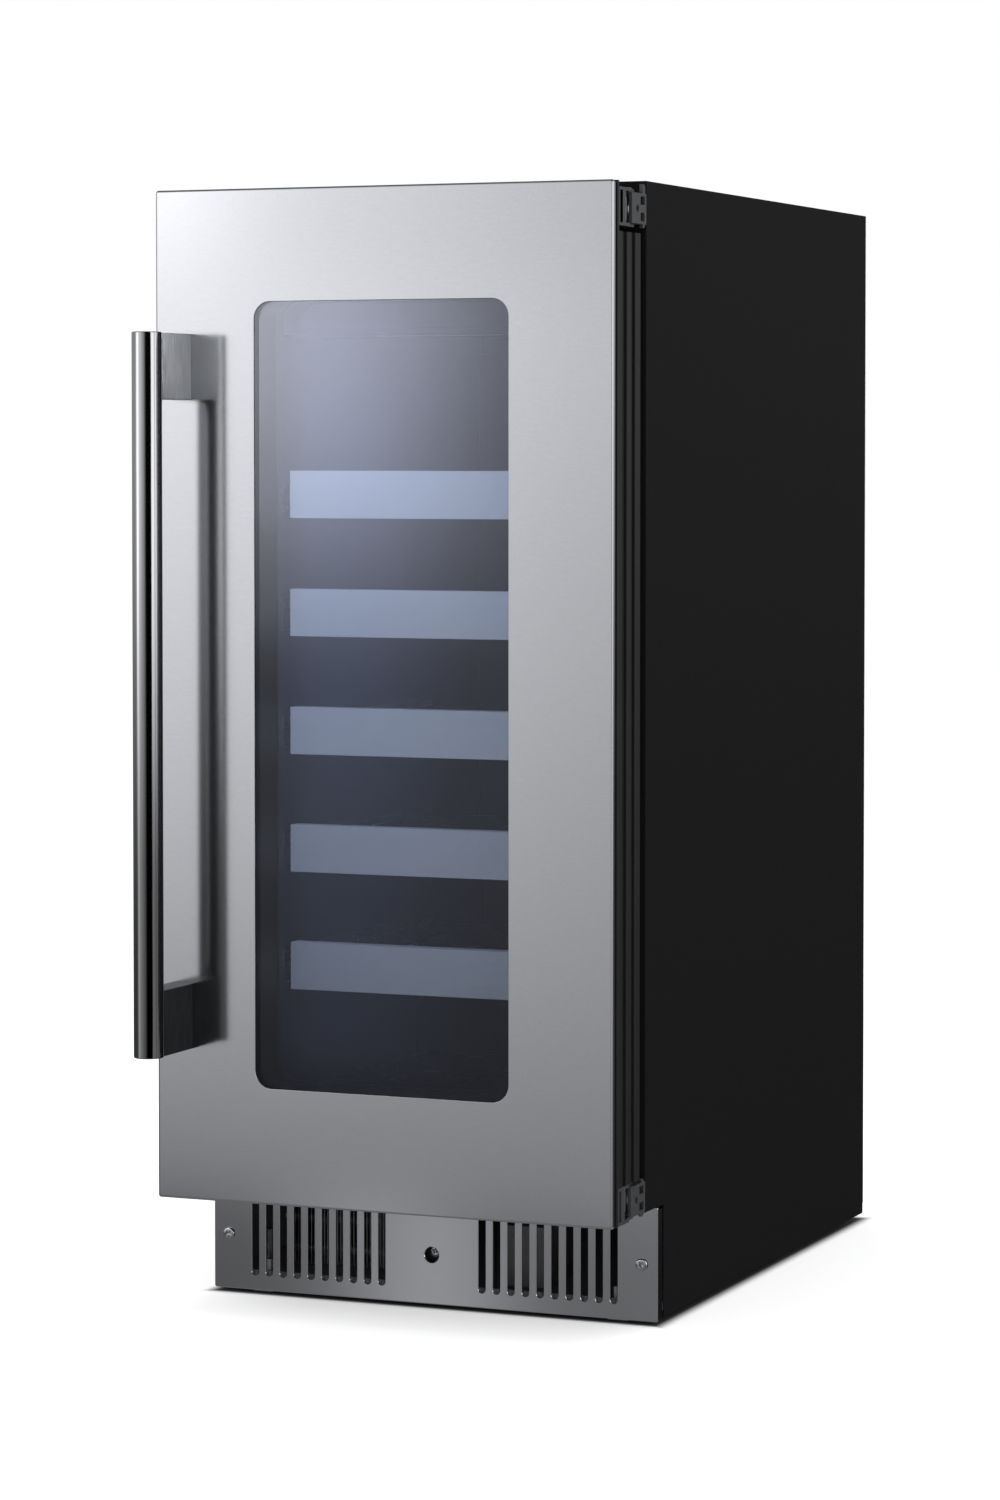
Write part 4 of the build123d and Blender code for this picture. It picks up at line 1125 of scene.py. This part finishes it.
class BuildRacks(CoolerPart):
    """Six bottle racks with scooped cradle bars, the stainless strips and the runners."""

    bl_idname = "cooler.racks"
    bl_label = "Racks"

    bottle_pitch = 67 * MM

    def build(self):
        for node in RACKS + ["bottom_rack"]:
            self.rack(node)
        for node in STRIPS:
            soften(node, 0.35 * MM, 3, "strip")
        soften("shelf_runners", 0.3 * MM, 1)

    def rack(self, node):
        """Frame of four rails and three rods, with three cradle bars across."""
        low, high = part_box(node)
        rail, rail_h, rod_w, rod_h, overlap = 2.5 * MM, 14 * MM, 5 * MM, 3 * MM, 0.5 * MM
        top = low.z + rail_h
        bm = bmesh.new()
        band(bm, [[(high.x - i, high.y - i, z), (low.x + i, high.y - i, z), (low.x + i, low.y + i, z),
                   (high.x - i, low.y + i, z)]
                  for i, z in ((0.0, low.z), (0.0, top), (rail, top), (rail, low.z))], closed=True)
        for k in (-1, 0, 1):
            x = k * self.bottle_pitch
            box_into(bm, (x - rod_w / 2, low.y + overlap, low.z),
                     (x + rod_w / 2, high.y - overlap, low.z + rod_h))
        rails = from_bmesh(node + "_bars", bm)
        step = (high.y - low.y) / 3.4
        bar = self.cradle(high.x - rail + 0.4 * MM, rod_h, high.z - low.z)
        run_tree(row_tree, rails, [bar], width=0.35 * MM, Item=bar, Count=3,
                 Start=(0.0, low.y + step * 0.7, low.z), Step=(0.0, step, 0.0), Finish=finish("black_steel"))
        dress(rails, node)

    def cradle(self, half, z0, z1):
        """One cross bar, its top edge scooped for four bottles."""
        bottle, scoop, thick, chords = 38 * MM, 10 * MM, 3 * MM, 12
        reach = math.acos((bottle - scoop) / bottle)
        outline = [(half, z0), (-half, z0), (-half, z1)]
        for i in range(4):
            x = (i - 1.5) * self.bottle_pitch
            for k in range(chords + 1):
                a = reach * (2 * k / chords - 1)
                outline.append((x + bottle * math.sin(a), z1 - scoop + bottle * (1 - math.cos(a))))
        outline.append((half, z1))
        bm = bmesh.new()
        capped(bm, [[(x, y, z) for x, z in outline] for y in (0.0, thick)])
        return from_bmesh("cradle_bar", bm)


class BuildCooling(CoolerPart):
    """Compressor, finned blocks, fans, and what stands round them."""

    bl_idname = "cooler.cooling"
    bl_label = "Cooling unit"

    blades = 5

    def build(self):
        self.compressor()
        self.finned("condenser", sizes().fin_count, 3, 2)
        self.finned("evaporator", 64, 4, 2)
        for node in FANS:
            self.fan(node, *FANS[node])
        for node, width in COOLING_PARTS.items():
            soften(node, width * MM)

    def compressor(self):
        """Drawn steel can with a weld round its waist, on a plate, with its terminal cover."""
        low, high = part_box("compressor")
        centre = Vector((0.050, at(520.0), 0.0))
        radius, dome = 62 * MM, 36 * MM
        base = low.z + 2 * MM
        waist = base + 58 * MM
        profile = [(TIP, base)]
        for share, z in ((0.62, base), (0.86, base + 5 * MM), (0.95, base + 14 * MM),
                         (0.962, base + 26 * MM), (0.962, waist - 5 * MM), (0.975, waist - 4 * MM),
                         (1.0, waist - 2 * MM), (1.0, waist + 2 * MM), (0.975, waist + 4 * MM),
                         (0.95, waist + 5 * MM), (0.95, high.z - dome)):
            profile.append((radius * share, z))
        profile += [(radius * (0.30 + 0.65 * cos), high.z - dome + dome * sin) for sin, cos in quarter(8, 1)]
        profile.append((TIP, high.z))
        bm = bmesh.new()
        lathe(bm, profile, centre, sides=72)
        # The plate that the can stands on, and the cover of its terminals.
        box_into(bm, (low.x, low.y + 4 * MM, low.z), (low.x + 176 * MM, high.y - 4 * MM, base + 0.2 * MM))
        box_into(bm, (centre.x + 0.055, centre.y - 0.022, 0.070), (centre.x + 0.086, centre.y + 0.022, 0.112))
        dress(round_edges(from_bmesh("compressor_can", bm), 0.5 * MM), "compressor")

    def finned(self, node, count, rows, columns):
        """Fins on hairpin tubes between two end plates."""
        low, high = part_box(node)
        size = high - low
        plate, bend, tube, thick = 1.2 * MM, 5 * MM, 3.4 * MM, 0.35 * MM
        bm = bmesh.new()
        for x in (low.x + bend, high.x - bend - plate):
            box_into(bm, (x, low.y, low.z), (x + plate, high.y, high.z))
        for row in range(rows):
            z = low.z + size.z * (row + 0.5) / rows
            for column in range(columns):
                y = low.y + size.y * (column + 0.5) / columns
                pipe_into(bm, [(x, y, z) for x in (low.x + 2 * MM, low.x + 12 * MM, high.x - 12 * MM,
                                                   high.x - 2 * MM)], tube)
        block = from_bmesh(node + "_block", bm)
        bm = bmesh.new()
        box_into(bm, (0.0, low.y + 0.3 * MM, low.z + 0.4 * MM), (thick, high.y - 0.3 * MM, high.z - 0.4 * MM))
        fin = from_bmesh("fin", bm)
        step = (size.x - 2 * bend - 2 * plate - thick) / (count - 1)
        run_tree(row_tree, block, [fin], Item=fin, Count=count, Start=(low.x + bend + plate, 0.0, 0.0),
                 Step=(step, 0.0, 0.0), Finish=finish("aluminium_fins"))
        dress(block, node)

    def fan(self, node, x, z, radius, hub):
        """Moulded fan: a domed hub and cambered, swept blades."""
        low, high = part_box(node)
        centre = Vector((x, (low.y + high.y) / 2, z))
        thick, bore = high.y - low.y, 2.05 * MM
        back, front = -thick / 2, thick / 2
        profile = [(bore, back), (hub - 2.5 * MM, back), (hub - 0.7 * MM, back + 0.8 * MM),
                   (hub, back + 2.5 * MM), (hub, front - 0.4 * MM), (hub - 0.4 * MM, front), (bore, front)]
        bm = bmesh.new()
        band(bm, [[centre + Vector((r * math.cos(a), y, r * math.sin(a))) for a in turns(48)]
                  for r, y in profile], closed=True)
        piece = from_bmesh(node + "_rotor", bm)
        blade = self.blade(hub - 1.5 * MM, radius, thick)
        run_tree(ring_tree, piece, [blade], Item=blade, Count=self.blades, Centre=tuple(centre),
                 Finish=finish("black_plastic"))
        dress(piece, node)

    def blade(self, inner, outer, thick):
        """One blade: wider and swept towards its tip, and thin at its edges."""
        bm = bmesh.new()
        steps, wall, camber = 8, 0.65 * MM, 0.9 * MM
        rims = []
        for side in (-1, 1):
            grid = []
            for i in range(steps + 1):
                u = i / steps
                r = inner + (outer - inner) * u
                width = math.radians(360.0 / self.blades * (0.50 + 0.22 * u))
                sweep = math.radians(10.0) * u * u
                row = []
                for j in range(steps + 1):
                    v = j / steps - 0.5
                    a = width * v + sweep
                    rise = v * (thick - 2.2 * MM) * (1.0 - 0.15 * u) + camber * (1 - 4 * v * v)
                    edge = wall * (1.0 - (2 * abs(v)) ** 4 * 0.75)
                    row.append(bm.verts.new((r * math.cos(a), rise + side * edge, r * math.sin(a))))
                grid.append(row)
            for i in range(steps):
                for j in range(steps):
                    bm.faces.new((grid[i][j], grid[i + 1][j], grid[i + 1][j + 1], grid[i][j + 1]))
            rims.append([row[0] for row in grid] + grid[-1][1:] + [row[-1] for row in reversed(grid[:-1])]
                        + list(reversed(grid[0][1:-1])))
        for i in range(len(rims[0])):
            j = (i + 1) % len(rims[0])
            bm.faces.new((rims[0][i], rims[0][j], rims[1][j], rims[1][i]))
        return from_bmesh("blade", bm)


class BuildControls(CoolerPart):
    """Control housing under the ceiling, its touch glass, board and lamp."""

    bl_idname = "cooler.controls"
    bl_label = "Controls"

    def build(self):
        soften("control_housing", 0.6 * MM)
        soften("control_glass", 0.4 * MM)
        soften("control_board", 0.2 * MM, 1)
        soften("led_lens", 0.2 * MM, 1)


class BuildStage(CoolerPart):
    """Pale floor, soft lights, the cards that the steel and the glass mirror, and the camera."""

    bl_idname = "cooler.stage"
    bl_label = "Studio"

    def build(self):
        self.floor()
        self.cards()
        self.world()
        self.lights()
        self.camera()

    def plane(self, name, corners):
        piece = from_points(name, corners, [(0, 1, 2, 3)])
        return piece

    def floor(self):
        """Pale floor with a painted shadow where the cooler stands on it: dark and without glow under and just
        round its footprint.
        """
        f = Finish("Pale floor")
        soft = f.noise(2.0, 2.0)
        half, front, back = 0.186, at(96.5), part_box("rear_grille")[1].y
        across, depth, _ = f.split()
        # Painted shadow: these masks mark the floor under the cooler and a few millimetres round it, where the
        # floor takes a dark colour and gives off no light.
        beside = across.bigger(0.0 - across).rise(half - 0.002, half + 0.012)
        before = depth.fall(front - 0.010, front + 0.001)
        behind = depth.rise(back - 0.002, back + 0.012)
        outside_painted_shadow = beside.bigger(before).bigger(behind)
        pale = f.blend(soft, (0.86, 0.86, 0.865), (0.88, 0.88, 0.885))
        floor = self.plane("studio_floor", [(-9, -9, 0), (9, -9, 0), (9, 9, 0), (-9, 9, 0)])
        floor.data.materials.append(f.done(f.shader(
            Base_Color=f.blend(outside_painted_shadow, (0.10, 0.10, 0.102), pale),
            Roughness=0.85 + soft * 0.05, Specular_IOR_Level=0.1, Emission_Strength=0.5,
            Emission_Color=f.blend(outside_painted_shadow, (0.0, 0.0, 0.0), (1.0, 1.0, 1.0)))))
        floor.visible_glossy = False

    def linked(self, lamp, pieces, only=True):
        """Keeps a light to the named pieces, or off them."""
        group = bpy.data.collections.new(lamp.name + "_pieces")
        for piece in pieces:
            group.objects.link(piece)
        if not only:
            for entry in group.collection_objects:
                entry.light_linking.link_state = "EXCLUDE"
        lamp.light_linking.receiver_collection = group

    def card(self, f, name, strength, corners, pieces, only):
        """Upright card, seen only as a reflection; one for named pieces alone is see-through."""
        surface = f.glow("ShaderNodeEmission", strength, (0.98, 0.985, 1.0))
        if only:
            clear = f.node("ShaderNodeBsdfTransparent").outputs[0]
            surface = f.node("ShaderNodeAddShader", {0: surface, 1: clear}).outputs[0]
        card = self.plane(name, corners)
        card.data.materials.append(f.done(surface))
        for ray in ("camera", "diffuse", "transmission", "shadow"):
            setattr(card, "visible_" + ray, False)
        self.linked(card, pieces, only)

    def front_card(self, f, name, strength, y, left, right, pieces, only):
        low, high = -0.9, 1.5
        corners = [(left, y, low), (right, y, low), (right, y, high), (left, y, high)]
        self.card(f, name, strength, corners, pieces, only)

    def cards(self):
        """Walls that the steel and the bar mirror, and a soft box that only the window mirrors."""
        panes = [frame["nodes"][node] for node in PANES]
        bar = [STAND_INS["handle_bar"]]
        f, left, up = self.wall_maths("Wall light")
        rise = ((up + 0.20) / 1.25).clamped()
        lean = ((left - 0.50) / 0.50).clamped()
        low = up.fall(-0.280, -0.220)
        pool = left.rise(0.67, 0.78) * left.fall(0.80, 0.98) * 0.36
        pool = pool - left.rise(0.88, 1.0) * 0.05 - left.rise(0.40, 0.60) * 0.05 - 0.10
        wall = rise * (lean * 0.60 + 0.58) + 0.31 + low * pool
        corner = left.rise(0.96, 1.08) * up.rise(0.82, 0.98) * 0.16
        dusk = up.rise(0.78, 0.96) * left.fall(0.90, 1.05) * 0.17
        gap = left.fall(-0.38, -0.26) * left.rise(-0.88, -0.78) * 0.92
        beyond = left.fall(-0.95, -0.80) * 0.45
        wall = wall * (corner + 1.0) * (1.0 - dusk) * (1.0 - gap + beyond) * stage_settings().walls
        # The part to the right is dark in a mirror that is seen in another mirror.
        ray = f.node("ShaderNodeLightPath")
        again = Value(f, ray.outputs["Ray Depth"]).rise(1.4, 1.6)
        wall = wall * (1.0 - again * left.fall(-0.10, 0.25) * 0.95)
        self.front_card(f, "wall_card", wall, -2.02, -1.7, 2.6, panes + bar, False)

        f, left, up = self.wall_maths("Bar light")
        fade = left.rise(-0.42, 0.30) * 0.40 + ((left - 0.2) / 1.4).clamped() * 0.72
        fall = ((up + 0.32) / 1.12).clamped().bigger(((up + 2.2) / 7.0).clamped())
        self.front_card(f, "bar_card", fade * fall, -1.98, -3.0, 1.2, bar, True)

        f = Finish("Side wall light")
        up = f.split()[2]
        shine = ((up + 0.02) / 1.15).clamped() * 0.50 + 0.05
        corners = [(2.4, 1.0, -0.9), (2.4, 7.0, -0.9), (2.4, 7.0, 2.2), (2.4, 1.0, 2.2)]
        self.card(f, "side_card", shine, corners, bar, False)

        f, left, up = self.wall_maths("Soft box light")
        box = up.rise(0.36, 0.87) * left.rise(0.46, 0.94)
        rest = ((up + 0.10) / 0.60).clamped() * 0.17 + 0.11
        self.front_card(f, "soft_box_card", box * stage_settings().soft_box + rest, -2.0, -1.7, 2.6, panes, True)

    def wall_maths(self, name):
        """A finish, how far to the left a place on the card lies, and how high."""
        f = Finish(name)
        across, _, up = f.split()
        return f, 0.0 - across, up

    def world(self):
        """White backdrop, even soft light, and light and dark walls for polished metal to mirror."""
        f = Finish("Studio", "worlds")
        bpy.context.scene.world = f.material
        right, back, up = f.split("Generated")
        turned = right.angle_to(0.0 - back) * (180 / math.pi)
        left_wall = (0.0 - turned).rise(-12.0, 48.0) * (1.0 - (0.0 - turned).rise(52.0, 82.0) * 0.6)
        dip = turned.rise(76.0, 86.0) * turned.fall(91.0, 98.0)
        right_wall = turned.rise(52.0, 63.0) * turned.fall(100.0, 117.0) * (1.75 - dip * 0.7)
        back_wall = turned.rise(160.0, 175.0) * 0.32
        height = (up.rise(-0.20, 0.10) * 0.88 + 0.12) * (1.0 - up.rise(0.35, 0.85) * 0.75)
        ground = up.fall(-0.56, -0.40) * 0.15
        far_floor = turned.rise(118.0, 140.0) * up.fall(-0.32, -0.20) * 0.3
        walls = (left_wall + right_wall + back_wall) * height * stage_settings().walls
        even = (up.rise(-0.5, 0.8) * 0.5 + 0.5) * stage_settings().room
        kind, grey, white = "ShaderNodeBackground", (0.8, 0.8, 0.8), (1.0, 1.0, 1.0)
        mirrored = f.glow(kind, walls + ground + far_floor + 0.008, grey)
        ray = f.node("ShaderNodeLightPath").outputs
        unseen = f.mix(ray["Is Glossy Ray"], f.glow(kind, even, grey), mirrored)
        f.done(f.mix(ray["Is Camera Ray"], unseen, f.glow(kind, 1.0, white)))
        bpy.context.scene.view_settings.view_transform = "Standard"

    def lamp(self, name, place, aim, size, power, pieces=(), only=True):
        light = bpy.data.lights.new(name, "AREA")
        light.shape = "SQUARE"
        light.size = size
        light.energy = power
        lamp = bpy.data.objects.new(name, light)
        bpy.context.scene.collection.objects.link(lamp)
        lamp.location = place
        lamp.rotation_euler = (Vector(aim) - Vector(place)).to_track_quat("-Z", "Y").to_euler()
        lamp.visible_glossy = False
        self.linked(lamp, pieces, only)
        return light

    def lights(self):
        """Soft lights from the front left, above and the side, and small ones on single pieces."""
        settings = stage_settings()
        strips = [STAND_INS[node] for node in STRIPS]
        for name, place, aim, size, power in (
                ("key", (-1.9, -2.2, 2.6), (0, 0, 0.4), 1.8, settings.key),
                ("top", (0.3, 0.2, 2.9), (0, 0, 0), 2.4, 25.0),
                ("side", (2.8, -0.9, 1.6), (0.2, 0.1, 0.4), 1.2, 6.0)):
            self.lamp(name, place, aim, size, power, strips, False)
        highest = max(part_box(node)[1].z for node in STRIPS) + 0.10
        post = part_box("handle_posts")[1]
        bay = [STAND_INS[node] for node in ("base_pan", "leg_front_left", "leg_front_right")]
        rack_light = self.lamp("rack_light", (-0.26, -0.64, highest), (-0.26, 0.0, highest), 0.10,
                               settings.rack_light, strips)
        rack_light.color = (0.69, 0.81, 1.0)
        post_light = self.lamp("post_light", (0.0, -0.38, post.z + 0.03), (post.x, -0.29, post.z - 0.02),
                               0.05, 6.4, [STAND_INS["handle_posts"]])
        bay_light = self.lamp("bay_light", (-0.05, -0.9, 0.10), (0.0, -0.15, 0.02), 0.10,
                              settings.bay_light, bay)
        for light in (rack_light, post_light, bay_light):
            light.use_shadow = False
        cavity_light = self.lamp("cavity_light", (0.0, -0.10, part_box("led_lens")[0].z - 0.01),
                                 (0.0, -0.05, 0.0), 0.12, settings.cavity_light, strips, False)
        cavity_light.color = (0.72, 0.84, 1.0)

    def camera(self):
        settings = stage_settings()
        camera = bpy.data.cameras.new("camera")
        camera.sensor_fit = "VERTICAL"
        camera.sensor_height = 36.0
        camera.lens = settings.lens
        camera.shift_y = settings.rise
        camera.clip_start = 0.05
        holder = bpy.data.objects.new("camera", camera)
        bpy.context.scene.collection.objects.link(holder)
        holder.location = settings.camera_at
        holder.rotation_euler = (math.pi / 2 + settings.camera_pitch, 0.0, settings.camera_yaw)
        bpy.context.scene.camera = holder


class CoolerPanel(bpy.types.Panel):
    """Lists the cooler's pieces and settings."""

    bl_idname = "VIEW3D_PT_wine_cooler"
    bl_label = "Wine cooler"
    bl_space_type = "VIEW_3D"
    bl_region_type = "UI"
    bl_category = "Wine cooler"

    def draw(self, context):
        for settings in (sizes(), colours(), stage_settings()):
            column = self.layout.column()
            for key in settings.__annotations__:
                column.prop(settings, key)
        for part in PARTS:
            self.layout.operator(part.bl_idname)


SETTINGS = {"cooler_sizes": CoolerSizes, "cooler_colours": CoolerColours, "cooler_stage": CoolerStage}
PARTS = (BuildDoorSkin, BuildDoorBody, BuildWindow, BuildHandle, BuildHinges, BuildCabinet, BuildPlinth,
         BuildFeet, BuildRacks, BuildCooling, BuildControls, BuildStage)
CLASSES = (*SETTINGS.values(), *PARTS, CoolerPanel)


def register():
    for item in CLASSES:
        bpy.utils.register_class(item)
    for name, group in SETTINGS.items():
        setattr(bpy.types.Scene, name, PointerProperty(type=group))


def unregister():
    for name in SETTINGS:
        delattr(bpy.types.Scene, name)
    for item in reversed(CLASSES):
        bpy.utils.unregister_class(item)


def main():
    register()
    for part in PARTS:
        group, name = part.bl_idname.split(".")
        getattr(getattr(bpy.ops, group), name)()


if __name__ == "__main__":
    main()
